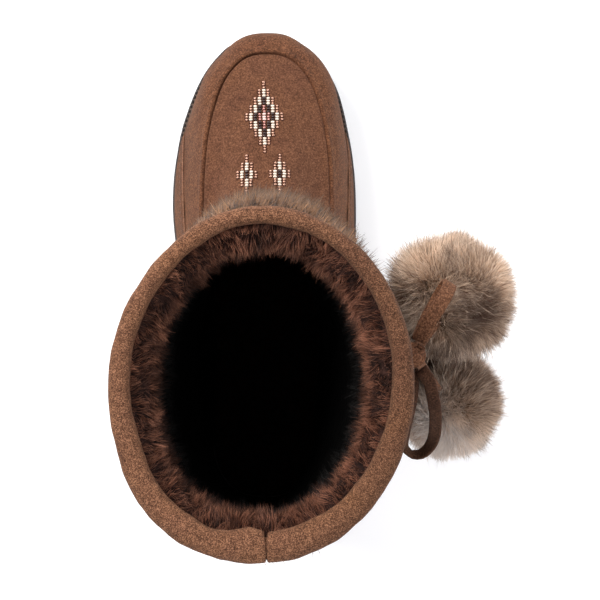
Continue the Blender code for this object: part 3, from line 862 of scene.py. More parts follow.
def ribbons(hair, width, seed, faces=None, pale=0.0):
    """Vertices, triangles and strand colours of thin tapered ribbons.

    Each hair runs from its root along its way, bends towards bends and ends at its tip; faces
    are the directions that the ribbons turn their flat side to, tones run from light (0) to
    dark (1), and pale is each hair's share of the pale colour.
    """
    rng = np.random.default_rng(seed)
    count = len(hair.roots)
    t = np.linspace(0.0, 1.0, HAIR_STEPS + 1)
    ways = unit(hair.ways)
    path = hair.roots[:, None] + ways[:, None] * (hair.lengths[:, None] * t)[..., None]
    path += hair.bends[:, None] * ((t**2)[None, :, None] * hair.lengths[:, None, None])
    path += (hair.tips - path[:, -1])[:, None] * (t**1.6)[None, :, None]
    if faces is None:
        faces = rng.normal(size=(count, 3))
    side = unit(np.cross(ways, faces + rng.normal(scale=0.35, size=(count, 3))))
    half = side[:, None] * (0.5 * width * np.linspace(1.0, 0.7, HAIR_STEPS))[None, :, None]
    pairs = np.stack([path[:, :-1] - half, path[:, :-1] + half], axis=2).reshape(count, -1, 3)
    vertices = np.concatenate([pairs, path[:, -1:]], axis=1)
    each = 2 * HAIR_STEPS + 1
    local = []
    for a in range(0, each - 3, 2):
        local += [(a, a + 1, a + 3), (a, a + 3, a + 2)]
    local.append((each - 3, each - 2, each - 1))
    triangles = (np.arange(count)[:, None, None] * each + np.array(local)[None]).reshape(-1, 3)
    colours = np.ones((count, each, 4))
    colours[..., 0] = np.concatenate([np.repeat(t[:-1], 2), [1.0]])
    colours[..., 1] = np.clip(hair.tones, 0.0, 1.0)[:, None]
    colours[..., 2] = np.broadcast_to(pale, count)[:, None]
    return vertices.reshape(-1, 3), [(triangles, 0)], colours.reshape(-1, 4)


def build_hair(name, hair, width, seed, material, slot, *nodes, faces=None, pale=0.0):
    points, groups, colours = ribbons(hair, width, seed, faces, pale)
    return make(name, points, groups, [material], slot, *nodes, closed=False, colours=colours)


def clump_tips(roots, tips, count, pull, seed):
    """Draw the tips of neighbouring hairs together into tufts; also gives each hair's tuft."""
    rng = np.random.default_rng(seed)
    chosen = rng.choice(len(roots), count, replace=False)
    tree = KDTree(count)
    for number, index in enumerate(chosen):
        tree.insert(roots[index], number)
    tree.balance()
    nearest = np.array([tree.find(root)[1] for root in roots])
    target = tips[chosen][nearest]
    return mix(tips, target, (pull * rng.uniform(0.55, 1.0, len(roots)))[:, None]), nearest


# Dark and light patches of the pompoms' fur: direction from the middle, reach, change of tone
Patch = namedtuple("Patch", "x y z reach tone")
PATCHES_FRONT = (
    Patch(-0.12, 0.50, 0.86, 0.20, 0.85),
    Patch(0.34, -0.20, 0.92, 0.32, 1.40),
    Patch(0.08, -0.30, 0.95, 0.30, 0.75),
    Patch(-0.88, 0.05, 0.47, 0.30, 0.80),
    Patch(0.10, -0.95, 0.30, 0.45, 1.00),
    Patch(-0.55, 0.60, 0.60, 0.50, -0.40),
    Patch(0.80, 0.30, 0.50, 0.45, -0.40),
    Patch(0.20, 0.85, 0.45, 0.35, -0.20),
)
PATCHES_REAR = (
    Patch(-0.20, 0.85, 0.50, 0.42, 1.30),
    Patch(0.45, 0.30, 0.84, 0.40, 0.55),
    Patch(-0.40, -0.35, 0.85, 0.55, -0.95),
    Patch(-0.10, -0.80, 0.60, 0.55, -0.95),
    Patch(0.60, -0.30, 0.70, 0.25, 0.35),
)

# Where the pompoms' outlines swell or draw in: direction, reach, share of the radius
SWELLS_FRONT = (
    Patch(-0.88, 0.42, 0.20, 0.50, 0.16),
    Patch(0.70, 0.70, 0.10, 0.40, 0.04),
    Patch(0.60, -0.75, 0.10, 0.40, 0.06),
)
# Where the rear pompom's hair turns nearly white
PALES = (
    Patch(-0.40, -0.40, 0.82, 0.50, 0.95),
    Patch(-0.05, -0.85, 0.50, 0.50, 1.00),
)
SWELLS_REAR = (
    Patch(0.75, 0.62, 0.20, 0.35, 0.08),
    Patch(0.70, -0.65, 0.10, 0.40, -0.05),
)


def patch_tones(ways, patches):
    total = np.zeros(len(ways))
    for patch in patches:
        middle = unit(np.array([patch.x, patch.y, patch.z]))
        away = np.linalg.norm(ways - middle, axis=1) / patch.reach
        total += patch.tone * np.exp(-(away**2))
    return total


def fur_ball(node, centre, radius, count, patches, swells, pale_share, mats, seed):
    """Hairs of a pompom: from a small heart out to a soft round outline, combed in tufts."""
    rng = np.random.default_rng(seed)
    ways = unit(rng.normal(size=(count, 3)))
    places = ways * radius
    roots = centre + ways * (radius * rng.uniform(0.55, 0.78, count))[:, None]
    swell = 1.0 + 0.06 * waves(places, radius * 0.8, seed + 1) + patch_tones(ways, swells)
    ends = radius * swell * rng.uniform(0.90, 1.06, count)
    comb = 0.8 * np.stack([waves(places, radius * 0.9, seed + k) for k in (2, 3, 4)], axis=1)
    comb += np.array([0.20, 0.10, -0.75])
    comb -= ways * np.sum(comb * ways, axis=1, keepdims=True)
    leaning = unit(ways + 0.85 * comb + 0.30 * rng.normal(size=(count, 3)))
    lengths = (ends - np.linalg.norm(roots - centre, axis=1)) * rng.uniform(1.0, 1.75, count)
    bends = -0.20 * ways + 0.18 * rng.normal(size=(count, 3)) + 0.20 * comb
    tips = roots + leaning * lengths[:, None] + bends * lengths[:, None]
    tips, tufts = clump_tips(roots, tips, count // 26, 0.52, seed + 5)
    guard = rng.uniform(size=count) < 0.07
    away = tips - centre
    far = np.linalg.norm(away, axis=1, keepdims=True)
    limit = radius * np.where(guard, 1.17, 1.04) * (1.0 + patch_tones(ways, swells))
    tips = centre + away / far * np.minimum(far, limit[:, None])
    tips += ways * (guard * radius * 0.10)[:, None]
    blotch = 0.22 * waves(places, radius * 0.55, seed + 11)
    tones = 0.24 + patch_tones(ways, patches) + blotch + 0.22 * rng.normal(size=count)
    tones += 0.30 * rng.normal(size=count)[tufts]
    tones = np.where(guard, rng.choice((0.0, 1.0), count, p=(0.35, 0.65)), tones)
    pale = pale_share * np.clip(patch_tones(ways, PALES) * rng.uniform(0.4, 1.2, count), 0.0, 0.85)
    hair = Hair(roots, leaning, lengths, bends, tips, tones)
    look = {"faces": ways, "pale": pale}
    return build_hair(node + "_fur", hair, POMPOM_HAIR_WIDTH, seed + 6, mats["pompom"], "fur", node, **look)


# Pieces


def lug_grooves():
    grooves = []
    reach = math.ceil(SOLE_LENGTH / LUG_PITCH)
    for step in range(-reach, reach):
        middle = (step + 0.5) * LUG_PITCH
        if any(start < along_at(middle) < end for start, end in TREADS):
            grooves.append((middle - 0.5 * GROOVE_WIDTH, middle + 0.5 * GROOVE_WIDTH))
    return grooves


def groove_depth(y):
    depth = np.zeros_like(y)
    for back, front in lug_grooves():
        inside = np.minimum(y - back, front - y)
        depth = np.maximum(depth, LUG_DEPTH * np.clip(inside / LUG_DRAFT, 0.0, 1.0))
    return depth


def build_sole(mats):
    """Rubber sole with a rounded ledge, a fine parting line and lugs."""
    corners = []
    for back, front in lug_grooves():
        corners += [back, back + LUG_DRAFT, front - LUG_DRAFT, front]
    corners = along_at(np.array(corners))
    even = along_of(np.linspace(0.0, PI, 141))
    free = [a for a in even if np.abs(corners - a).min() > 0.002]
    stations = np.array(sorted({0.0, 1.0, *free, *corners.tolist()}))
    turns = np.arccos(1.0 - 2.0 * stations)
    thetas = np.concatenate([turns, TAU - turns[-2:0:-1]])
    edge, normal = outline(thetas), outward(thetas)
    bottom = sole_bottom(along_of(thetas)) + groove_depth(edge[:, 1])
    height = sole_top(edge[:, 1]) - bottom
    rows = []
    for inset, share, lift in SOLE_PROFILE:
        row = edge - normal * inset
        row[:, 2] = bottom + height * share + lift
        rows.append(row)
    count = len(thetas)
    walls = grid_faces(len(rows), count)
    groups = [(walls[count:], 0), (walls[:count], 1)]
    groups += [(caps, 0) for base in (0, (len(rows) - 1) * count) for caps in end_caps(count, base)]
    finishes = [mats["rubber"], mats["ledge"]]
    make("sole_rubber", np.concatenate(rows), groups, finishes, "sole_rubber", "outsole", sharp=42.0)


def seam_relief(theta, v):
    """Height of the apron's seam, a groove with a soft roll on its outer side, and its dark line: partly the
    joint, partly painted shade in the groove.
    """
    step = 0.01
    middle = form(theta, 1.0)
    below = np.linalg.norm(form(theta, 1.0 - step) - middle, axis=-1) / step
    above = np.linalg.norm(form(theta, 1.0 + step) - middle, axis=-1) / step
    distance = (v - 1.0) * np.where(v < 1.0, below, above)
    share = ease(along_of(theta), 0.44, 0.56)
    inner = 1.0 - ease(np.mod(theta, TAU), PI - 0.30, PI + 0.55)
    groove = mix(*SEAM_GROOVES, inner) * bell(distance, 0.0, SEAM_GROOVE_WIDTH)
    # the dark line is stronger on the inner side: painted shade from the roll
    line = mix(*SEAM_JOINT_AND_SHADE_LINES, inner) * bell(distance, 0.0, SEAM_LINE_WIDTH)
    return (bumps(distance, SEAM_ROLLS) - groove) * share, line * share


# Creases of the upper: place along the foot, height as form's v, reach both ways, depth
Crease = namedtuple("Crease", "side along v_low v_high reach depth lean")
CREASES = (
    Crease(-1, 0.50, 0.9, 1.9, 0.020, 0.0012, 0.05),
    Crease(-1, 0.43, 1.2, 2.0, 0.022, 0.0010, 0.04),
    Crease(1, 0.50, 0.9, 1.9, 0.021, 0.0012, 0.05),
    Crease(1, 0.42, 1.1, 2.0, 0.022, 0.0010, 0.04),
    Crease(-1, 0.12, 1.1, 2.0, 0.018, 0.0009, -0.03),
    Crease(1, 0.13, 1.1, 2.0, 0.018, 0.0009, -0.03),
)


def crease_relief(theta, v):
    along, side = along_of(theta), side_of(theta)
    total = np.zeros_like(v)
    for crease in CREASES:
        middle = 0.5 * (crease.v_low + crease.v_high)
        half = 0.5 * (crease.v_high - crease.v_low)
        fade = np.clip(1.0 - ((v - middle) / half) ** 2, 0.0, 1.0)
        trough = bell(along, crease.along + crease.lean * (v - middle), crease.reach)
        total -= np.where(side == crease.side, crease.depth * fade * trough, 0.0)
    return total


def pile_depth(v):
    """Thickness of suede and pile: a full roll under the collar, thin at its edge."""
    shaft = mix(FOOT_WALL, SHAFT_WALL, ease(v, 1.6, 2.25))
    return mix(shaft + bumps(v, PILE_ROLLS), 0.0032, ease(v, 2.93, 2.985))


def build_upper(mats):
    """Suede outside and pile base inside, one closed hollow shell."""
    theta = np.linspace(0.0, TAU, 300, endpoint=False)
    near = np.array([0.005, 0.010, 0.015, 0.022, 0.031, 0.042, 0.058, 0.08, 0.11])
    wall = np.concatenate([np.linspace(0.0, 0.88, 18), 1.0 - near[::-1]])
    instep = np.concatenate([[1.0], 1.0 + near * 0.6, np.linspace(1.095, 1.97, 34)])
    shaft = np.concatenate([np.linspace(2.0, 2.8, 12), [2.84, 2.88, 2.92, 2.96, 3.0]])
    heights = np.concatenate([wall, instep, shaft])
    grid_t, grid_v = grids(theta, heights)
    outer = form(grid_t, grid_v)
    relief, line = seam_relief(grid_t, grid_v)
    relief = relief + crease_relief(grid_t, grid_v)
    relief = relief + 0.00025 * waves(outer, 0.016, 3) * ease(grid_v, 0.05, 0.3)
    outer = outer + form_normal(grid_t, grid_v) * relief[..., None]
    inner_v = np.concatenate([np.linspace(0.0, 2.0, 40), np.linspace(2.03, 3.0, 30)])[::-1]
    grid_t, grid_v = grids(theta, inner_v)
    inner = form(grid_t, grid_v, -pile_depth(grid_v))
    lump = 0.0009 * waves(inner, 0.012, 4) * ease(grid_v, 0.1, 0.5) * (1.0 - ease(grid_v, 2.8, 2.86))
    inner = inner + form_normal(grid_t, grid_v) * lump[..., None]
    points = np.concatenate([outer.reshape(-1, 3), inner.reshape(-1, 3)])
    rows, columns = len(heights) + len(inner_v), len(theta)
    faces = grid_faces(rows, columns, True, True).reshape(rows, columns, 4)
    parts = np.split(faces, [len(wall), len(heights) - 1])
    groups = [(part.reshape(-1, 4), number) for number, part in enumerate(parts)]
    colours = np.zeros((len(points), 4))
    # red: the seam's dark line, its joint and painted shade in the groove
    colours[:line.size, 0] = line.ravel()
    finishes = [mats["side"], mats["vamp"], mats["pile_base"]]
    return make("upper_suede", points, groups, finishes, "suede_upper", "upper", colours=colours)


def build_insole(mats):
    """Fleece footbed with a rounded edge and soft lumps."""
    count = 160
    theta = np.linspace(0.0, TAU, count, endpoint=False)
    rows = []
    for inset, lift in ((0.0, 0.0), (0.0, 0.6), (0.0008, 0.9), (0.002, 1.0)):
        row = feather_point(theta, -(FOOT_WALL + INSOLE_FIT) - inset)
        row[:, 2] += INSOLE_THICKNESS * lift
        rows.append(row)
    edge = rows[-1]
    for share in np.linspace(0.85, 0.1, 9):
        row = edge * (share, 1.0, 1.0)
        row[:, 2] += 0.0006 * waves(row, 0.014, 8)
        rows.append(row)
    rows.insert(0, rows[0] * (0.1, 1.0, 1.0))
    groups = [(grid_faces(len(rows), count), 0)]
    groups += [(caps, 0) for base in (0, (len(rows) - 1) * count) for caps in end_caps(count, base)]
    make("insole_fleece", np.concatenate(rows), groups, [mats["insole"]], "pile", "insole")


def foxing_top(theta):
    """Place on the wall, in form's v, where the foxing ends."""
    levels = np.linspace(0.0, 1.0, 60)
    points = form(*grids(theta, levels), GAP)
    line = sole_top(points[..., 1]) + FOXING_HEIGHT * read(FOXING, along_at(points[..., 1]), "top")
    under = points[..., 2] - line
    return np.array([np.interp(0.0, under[:, k], levels) for k in range(len(theta))])


def build_foxing(mats):
    """Suede overlay round the heel, with a cut edge and a row of stitches under it."""
    reach = math.acos(1.0 - 2.0 * FOXING_END)
    theta = np.linspace(-reach, reach, 260)
    count, columns = 12, len(theta)
    grid_t, grid_l = grids(theta, np.linspace(0.0, 1.0, count))
    grid_v = grid_l * np.maximum(foxing_top(theta), 0.012)
    thick = FOXING_SKIN * ease(reach - np.abs(grid_t), 0.0, 0.05)
    inner = form(grid_t, grid_v, GAP)
    outer = form(grid_t, grid_v, GAP + thick)
    outer = outer + form_normal(grid_t, grid_v) * (0.00012 * waves(outer, 0.012, 21))[..., None]
    points = np.concatenate([outer, inner[::-1]]).reshape(-1, 3)
    faces = grid_faces(2 * count, columns, False, True).reshape(2 * count, -1, 4)
    plain = np.delete(faces, count - 1, axis=0).reshape(-1, 4)
    caps = np.arange(2 * count) * columns + np.array([[0], [columns - 1]])
    groups = [(plain, 0), (faces[count - 1], 1), (caps, 0)]
    finishes = [mats["side"], mats["edge"]]
    make("foxing_suede", points, groups, finishes, "suede_upper", "heel_foxing", sharp=50.0)
    path_t = np.linspace(-reach * 0.93, reach * 0.93, 900)
    path_v = np.maximum(foxing_top(path_t) - 0.06, 0.0)
    path = form(path_t, path_v, GAP + FOXING_SKIN)
    stitches("foxing_stitches", path, form_normal(path_t, path_v), 0.0024, 0.0012, mats["pale_thread"])


def stitches(name, path, away, length, space, material):
    """Short thread lozenges along a path, with their upward directions."""
    steps = np.linalg.norm(np.diff(path, axis=0), axis=1)
    walked = np.concatenate([[0.0], np.cumsum(steps)])
    starts = np.arange(0.0, walked[-1] - length, length + space)
    turns = np.linspace(0.0, TAU, 6, endpoint=False)
    size = STITCH_RADIUS * np.array([0.35, 0.9, 1.0, 0.9, 0.35])
    dip = STITCH_RADIUS * np.array([-0.9, 0.1, 0.4, 0.1, -0.9])
    points = []
    for start in starts:
        places = start + length * np.array([0.0, 0.18, 0.5, 0.82, 1.0])
        centre = on_line(places, walked, path)
        up = unit(on_line(places, walked, away))
        side = unit(np.cross(unit(np.gradient(centre, axis=0)), up))
        ring = centre[:, None] + up[:, None] * dip[:, None, None]
        ring = ring + side[:, None] * (np.cos(turns)[None, :, None] * size[:, None, None])
        ring = ring + up[:, None] * (np.sin(turns)[None, :, None] * size[:, None, None] * 0.8)
        points.append(ring.reshape(-1, 3))
    bases = np.arange(len(starts))[:, None] * 30
    faces = (bases[:, None] + grid_faces(5, 6)[None]).reshape(-1, 4)
    caps = np.concatenate([bases + np.arange(6)[::-1], bases + 24 + np.arange(6)])
    make(name, np.concatenate(points), [(faces, 0), (caps, 0)], [material], "thread", closed=False)


def build_welt_stitches(mats):
    """Dark stitches on the sole's ledge, round the forefoot."""
    reach = math.acos(1.0 - 2.0 * 0.775)
    theta = np.linspace(reach, TAU - reach, 1200)
    path = outline(theta) - outward(theta) * 0.0011
    path[:, 2] = sole_top(path[:, 1]) + 0.0004
    upwards = np.broadcast_to((0.0, 0.0, 1.0), path.shape)
    stitches("welt_stitches", path, upwards, 0.0019, 0.0009, mats["thread"])


def build_cuff(mats):
    """Collar of turned suede: a roll with a seam at the back where its ends meet."""
    seam = -CUFF_SEAM_TURN / SHAFT_TWIST
    close = 0.07 * np.linspace(-1.0, 1.0, 45) ** 3 + seam
    theta = np.concatenate([close, np.linspace(seam + 0.08, TAU + seam - 0.08, 380)])
    angle = shaft_angle(theta)
    outer_grow = SUEDE + GAP
    inner_grow = -CUFF_INSIDE - CUFF_REAR_INSIDE * (0.5 * (1.0 + np.cos(angle))) ** 2
    low = v_at_height(BOOT_HEIGHT - CUFF_DEPTH)
    rows, weights = [], []
    for v in np.linspace(low, v_at_height(BOOT_HEIGHT - CUFF_ROLL), 14):
        rows.append(form(theta, v, outer_grow))
        weights.append(0.0)
    half, middle = 0.5 * (outer_grow - inner_grow), 0.5 * (outer_grow + inner_grow)
    for turn in np.linspace(0.0, PI, 15):
        ring = form(theta, 3.0, middle + half * np.cos(turn))
        ring[:, 2] = BOOT_HEIGHT - CUFF_ROLL + CUFF_ROLL * math.sin(turn) ** 0.8
        rows.append(ring)
        weights.append(0.5 - 0.5 * math.cos(turn))
    for depth, inward in ((0.0058, 0.0001), (0.0068, 0.0007), (0.0074, 0.0018)):
        rows.append(form(theta, v_at_height(BOOT_HEIGHT - depth), inner_grow + inward))
        weights.append(1.0)
    seen = len(rows)
    bottom = v_at_height(BOOT_HEIGHT - 0.0074)
    for v, grow, lift in ((bottom, -0.0036, 0.0), (3.0, -0.0036, GAP), (3.0, GAP, GAP), (low, GAP, 0.0)):
        rows.append(form(theta, v, grow) + (0.0, 0.0, lift))
    # distance round the back from the seam, in metres, positive to the inner side
    turn = np.where(angle > PI, angle - TAU, angle) + CUFF_SEAM_TURN
    distance = turn * 0.5 * COLLAR_WIDTH
    push = bumps(distance, CUFF_SWELLS) * (np.array(weights)[:, None] ** 2)
    shape = np.array(rows)
    shape[:seen] += xyz(-np.sin(angle), -np.cos(angle), 0.0) * push[..., None]
    normal = grid_normals(shape[:seen])
    wander = 0.00030 * waves(shape[:seen], 0.020, 31) + 0.00016 * waves(shape[:seen], 0.007, 32)
    wander[0] *= 0.3
    shape[:seen] += normal * (wander - bumps(distance, CUFF_CLEFTS))[..., None]
    groups = [(grid_faces(len(shape), len(theta), True, True), 0)]
    make("cuff_suede", shape.reshape(-1, 3), groups, [mats["cuff"]], "suede_collar", "collar_cuff")


def grid_normals(grid):
    """Normals of a grid closed around its columns, pointing away from its middle line."""
    around = np.roll(grid, -1, axis=1) - np.roll(grid, 1, axis=1)
    up = np.gradient(grid, axis=0)
    return unit(np.cross(up, around))


def build_tie_lace(mats):
    """Flat lace round the shaft, between fur and cuff."""
    theta = np.linspace(0.0, TAU, 260, endpoint=False)
    low = BOOT_HEIGHT - CUFF_DEPTH - LACE_ROOM - LACE_WIDTH
    rows = []
    for share, grow in TIE_LACE_SECTION:
        rows.append(form(theta, v_at_height(low + LACE_WIDTH * share), GAP + LACE_THICKNESS * grow))
    groups = [(grid_faces(len(rows), len(theta), True, True), 0)]
    make("tie_lace_suede", np.concatenate(rows), groups, [mats["lace"]], "suede_lace", "tie_lace")


def smooth_route(points, count):
    """Even points on a smooth curve through a route's own points."""
    knots = np.array(points, float)
    padded = np.concatenate([knots[:1], knots, knots[-1:]])
    t = np.linspace(0.0, 1.0, 16, endpoint=False)[:, None]
    fine = []
    for before, start, end, after in zip(padded, padded[1:], padded[2:], padded[3:]):
        fine.append(0.5 * (
            2.0 * start
            + (end - before) * t
            + (2.0 * before - 5.0 * start + 4.0 * end - after) * t**2
            + (3.0 * start - before - 3.0 * end + after) * t**3
        ))
    fine = np.concatenate(fine + [knots[-1:]])
    walked = np.concatenate([[0.0], np.cumsum(np.linalg.norm(np.diff(fine, axis=0), axis=1))])
    places = np.linspace(0.0, walked[-1], count)
    return on_line(places, walked, fine), walked[-1]


def flat_lace(name, node, path, across, width, thickness, material):
    """Closed flat lace along a path; across is the way its width points."""
    run = unit(np.gradient(path, axis=0))
    across = np.atleast_2d(np.asarray(across, float))
    across = on_line(np.linspace(0.0, 1.0, len(path)), np.linspace(0.0, 1.0, len(across)), across)
    side = unit(across - run * np.sum(across * run, axis=1, keepdims=True))
    up = np.cross(run, side)
    section = (*LACE_HALF, *((-u, -w) for u, w in LACE_HALF))
    rings = [path + side * (u * width) + up * (w * thickness) for u, w in section]
    grid = np.stack(rings, axis=1)
    grid = grid + 0.00012 * waves(grid, 0.005, 41)[..., None]
    steps, sides = grid.shape[:2]
    caps = np.stack([np.arange(sides)[::-1], (steps - 1) * sides + np.arange(sides)])
    groups = [(grid_faces(steps, sides), 0), (caps, 0)]
    return make(name, grid.reshape(-1, 3), groups, [material], "suede_lace", node)


def build_bow(mats):
    """Both loops, the pompoms' laces, the knot and the pompoms."""
    low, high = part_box("bow_knot")
    knot = 0.5 * (np.array(low) + np.array(high))
    loop_rear_ways = (
        (1.0, 0.3, 0.1), (0.90, 0.2, 0.4), (0.78, 0.1, 0.62), (0.25, -0.45, 0.86),
        (-0.8, -0.1, 0.6), (-0.88, 0.2, 0.4), (-1.0, 0.3, 0.1),
    )
    for name, node, route, across, width in (
        ("loop_front", "bow_loop_front", LOOP_FRONT_ROUTE, (0.86, -0.50, 0.0), BOW_WIDTH),
        ("loop_rear", "bow_loop_rear", LOOP_REAR_ROUTE, loop_rear_ways, BOW_REAR_WIDTH),
        ("cord_front", "pompom_cord_front", POMPOM_CORD_FRONT_ROUTE, (0.8, -0.6, 0.0), POMPOM_CORD_WIDTH),
        ("cord_rear", "pompom_cord_rear", POMPOM_CORD_REAR_ROUTE, (0.7, 0.7, 0.0), POMPOM_CORD_WIDTH),
    ):
        path, length = smooth_route(np.array(route) + knot, 48)
        finish = mats["lace"]
        if name == "loop_rear":
            path = path + np.sin(np.linspace(0.0, PI, len(path)))[:, None] * np.array(LOOP_REAR_DRIFT)
            # the rear loop's darker lace is painted shade
            finish = mats["shaded_lace"]
        piece = flat_lace(name, node, path, across, width, BOW_THICKNESS, finish)
    pieces = build_knot(mats, knot)
    heads = build_pompoms(mats, knot)


def build_knot(mats, knot):
    """The knot: a lace wound over itself, in three turns that cross."""
    pieces = []
    turns = (
        ("knot_wrap", (0.0052, 0.0046, 0.0050), (0.0, 0.0, 1.0), (0.3, 1.0, 0.15), 0.0, 0.0060),
        ("knot_cross", (0.0050, 0.0052, 0.0046), (0.0, 1.0, 0.25), (1.0, 0.1, 0.5), 0.4, 0.0056),
        ("knot_core", (0.0040, 0.0040, 0.0040), (1.0, 0.3, 0.6), (0.0, 0.8, -0.7), 0.9, 0.0052),
    )
    for name, size, axis, start, phase, width in turns:
        axis = unit(np.array(axis))
        first = unit(np.array(start) - axis * np.dot(start, axis))
        t = np.linspace(0.0, TAU * 0.985, 60) + phase
        ring = np.cos(t)[:, None] * first + np.sin(t)[:, None] * np.cross(axis, first)
        path = knot + ring * np.array(size) + axis * (0.0008 * np.sin(2.0 * t))[:, None]
        pieces.append(flat_lace(name, "bow_knot", path, axis, width, 0.0018, mats["lace"]))
    return pieces + [ball("knot_heart", knot, 0.0046, mats["lace"], 91, "suede_lace", "bow_knot")]


def build_pompoms(mats, knot):
    heads = {}
    for end, place, radius, count, patches, swells, pale, seed in (
        ("front", POMPOM_FRONT_PLACE, 0.0298, 63000, PATCHES_FRONT, SWELLS_FRONT, 0.06, 101),
        ("rear", POMPOM_REAR_PLACE, 0.0270, 58000, PATCHES_REAR, SWELLS_REAR, 1.0, 202),
    ):
        node, centre = "pompom_" + end, knot + np.array(place)
        hair = fur_ball(node, centre, radius, count, patches, swells, pale, mats, seed)
        heart = ball(node + "_heart", centre, radius * 0.76, mats["fur_base"], seed, "fur")
        heads["cord_" + end] = [hair, heart]
    return heads


def ball(name, centre, radius, material, seed, slot, *nodes):
    """Lumpy round heart under a pompom's hairs or in the knot."""
    rows, columns = 24, 40
    turn = np.linspace(0.0, TAU, columns, endpoint=False)
    grid_t, grid_u = grids(turn, np.linspace(0.0, PI, rows + 2)[1:-1])
    way = xyz(np.sin(grid_u) * np.cos(grid_t), np.sin(grid_u) * np.sin(grid_t), np.cos(grid_u))
    points = way * radius * (1.0 + 0.06 * waves(way * radius, radius * 0.7, seed + 9))[..., None]
    points = np.concatenate([points.reshape(-1, 3), [[0, 0, radius], [0, 0, -radius]]]) + centre
    j = np.arange(columns)
    k = (j + 1) % columns
    top, base = rows * columns, (rows - 1) * columns
    fans = np.concatenate([
        np.stack([np.full(columns, top), j, k], axis=1),
        np.stack([np.full(columns, top + 1), base + k, base + j], axis=1),
    ])
    return make(name, points, [(grid_faces(rows, columns), 0), (fans, 0)], [material], slot, *nodes)


def surface_scatter(count, v_low, v_high, grow, seed, weight=None):
    """Random places on the form between two heights, evenly by area."""
    rng = np.random.default_rng(seed)
    tries = count * 3
    theta, v = rng.uniform(0.0, TAU, tries), rng.uniform(v_low, v_high, tries)
    step = 0.004
    across = np.linalg.norm(form(theta + step, v, grow) - form(theta - step, v, grow), axis=1)
    up = np.linalg.norm(form(theta, np.minimum(v + step, 3.0), grow) - form(theta, v - step, grow), axis=1)
    area = across * up
    if weight is not None:
        area = area * weight(v)
    keep = rng.uniform(0.0, area.max() * 0.9, tries) < area
    theta, v = theta[keep][:count], v[keep][:count]
    return theta, v


def build_fur_band(mats):
    """Fur round the shaft: a soft base and long hairs that lie outwards and down."""
    low = 2.0
    high = v_at_height(BOOT_HEIGHT - CUFF_DEPTH - LACE_ROOM - LACE_WIDTH - LACE_ROOM)
    theta = np.linspace(0.0, TAU, 220, endpoint=False)
    rows = []
    for share in np.linspace(0.0, 1.0, 26):
        v = mix(low, high, share)
        ring = form(theta, v, mix(0.0012, 0.0052, rounded(2.0 * share - 1.0, 3.0)))
        rows.append(ring + form_normal(theta, v) * (0.0009 * waves(ring, 0.012, 51))[:, None])
    rows += [form(theta, mix(low, high, share), GAP) for share in (1.0, 0.5, 0.0)]
    groups = [(grid_faces(len(rows), len(theta), True, True), 0)]
    make("fur_band_base", np.concatenate(rows), groups, [mats["fur_base"]], "fur", "fur_band")
    t, v = surface_scatter(FUR_HAIRS, low, high, 0.0030, 61)
    roots = form(t, v, 0.0030)
    normal = form_normal(t, v)
    rng = np.random.default_rng(62)
    share = (v - low) / (high - low)
    turn = shaft_angle(t) - PI - 0.10
    front = bell(turn, 0.0, np.where(turn < 0.0, 0.55, 1.40))
    flat = mix(0.30, 0.50, front)
    lift = mix(mix(0.40, 1.05, front), flat, ease(share, 0.0, 0.40))[:, None]
    sway = 0.30 * waves(roots, 0.028, 63)
    around = np.cross(normal, np.array([0.0, 0.0, 1.0]))
    ways = normal * lift + np.array([0.0, 0.0, -0.85]) + around * sway[:, None]
    ways = unit(ways + 0.13 * rng.normal(size=ways.shape))
    lengths = rng.uniform(0.013, 0.023, len(t)) * mix(0.65, 1.0, ease(share, 0.0, 0.25))
    lengths = lengths * mix(0.8, 1.0, front)
    lengths = lengths * mix(1.0, 0.6, ease(-turn, 0.30, 0.80) * ease(turn, -2.2, -1.6))
    bends = np.array([0.0, 0.0, -0.12]) + normal * -0.06 + 0.12 * rng.normal(size=ways.shape)
    tips = roots + ways * lengths[:, None] + bends * lengths[:, None]
    tips, tufts = clump_tips(roots, tips, len(t) // 14, 0.42, 64)
    tones = 0.50 + 0.22 * waves(roots, 0.007, 66) + 0.20 * rng.normal(size=len(t))
    tones += 0.36 * rng.normal(size=len(t))[tufts]
    hair = Hair(roots, ways, lengths, bends, tips, tones)
    build_hair("fur_band_hair", hair, FUR_HAIR_WIDTH, 65, mats["fur"], "fur", faces=normal)


def build_pile(mats):
    """Dense short pile inside the shaft, in soft tufts."""
    top = v_at_height(BOOT_HEIGHT - 0.0058)
    t, v = surface_scatter(PILE_HAIRS, v_at_height(0.212), top, -0.011, 71, pile_share)
    outer_side = ease(np.sin(shaft_angle(t)), 0.2, -0.8)
    inner_side = ease(np.sin(shaft_angle(t)), 0.1, 0.8)
    depth = -pile_depth(v) + 0.0006 + 0.0022 * outer_side + 0.0020 * inner_side
    roots = form(t, v, depth)
    normal = -form_normal(t, v)
    rng = np.random.default_rng(72)
    sway = np.stack([waves(roots, 0.013, 73 + k) for k in range(3)], axis=1)
    rise = mix(-0.1, 0.55, ease(roots[:, 2], 0.248, 0.277))[:, None] * np.array([0.0, 0.0, 1.0])
    ways = unit(normal + 0.42 * sway + 0.24 * rng.normal(size=roots.shape) + rise)
    lengths = rng.uniform(0.0042, 0.0072, len(t))
    bends = 0.35 * sway[:, ::-1] + 0.20 * rng.normal(size=roots.shape) + np.array([0.0, 0.0, -0.2])
    tips = roots + ways * lengths[:, None] + bends * lengths[:, None]
    tips, tufts = clump_tips(roots, tips, len(t) // 24, 0.55, 76)
    tones = 0.50 + 0.34 * waves(roots, 0.0075, 78) + 0.22 * rng.normal(size=len(t))
    tones += 0.30 * rng.normal(size=len(t))[tufts]
    hair = Hair(roots, ways, lengths, bends, tips, tones)
    build_hair("lining_pile", hair, PILE_HAIR_WIDTH, 77, mats["pile"], "pile")


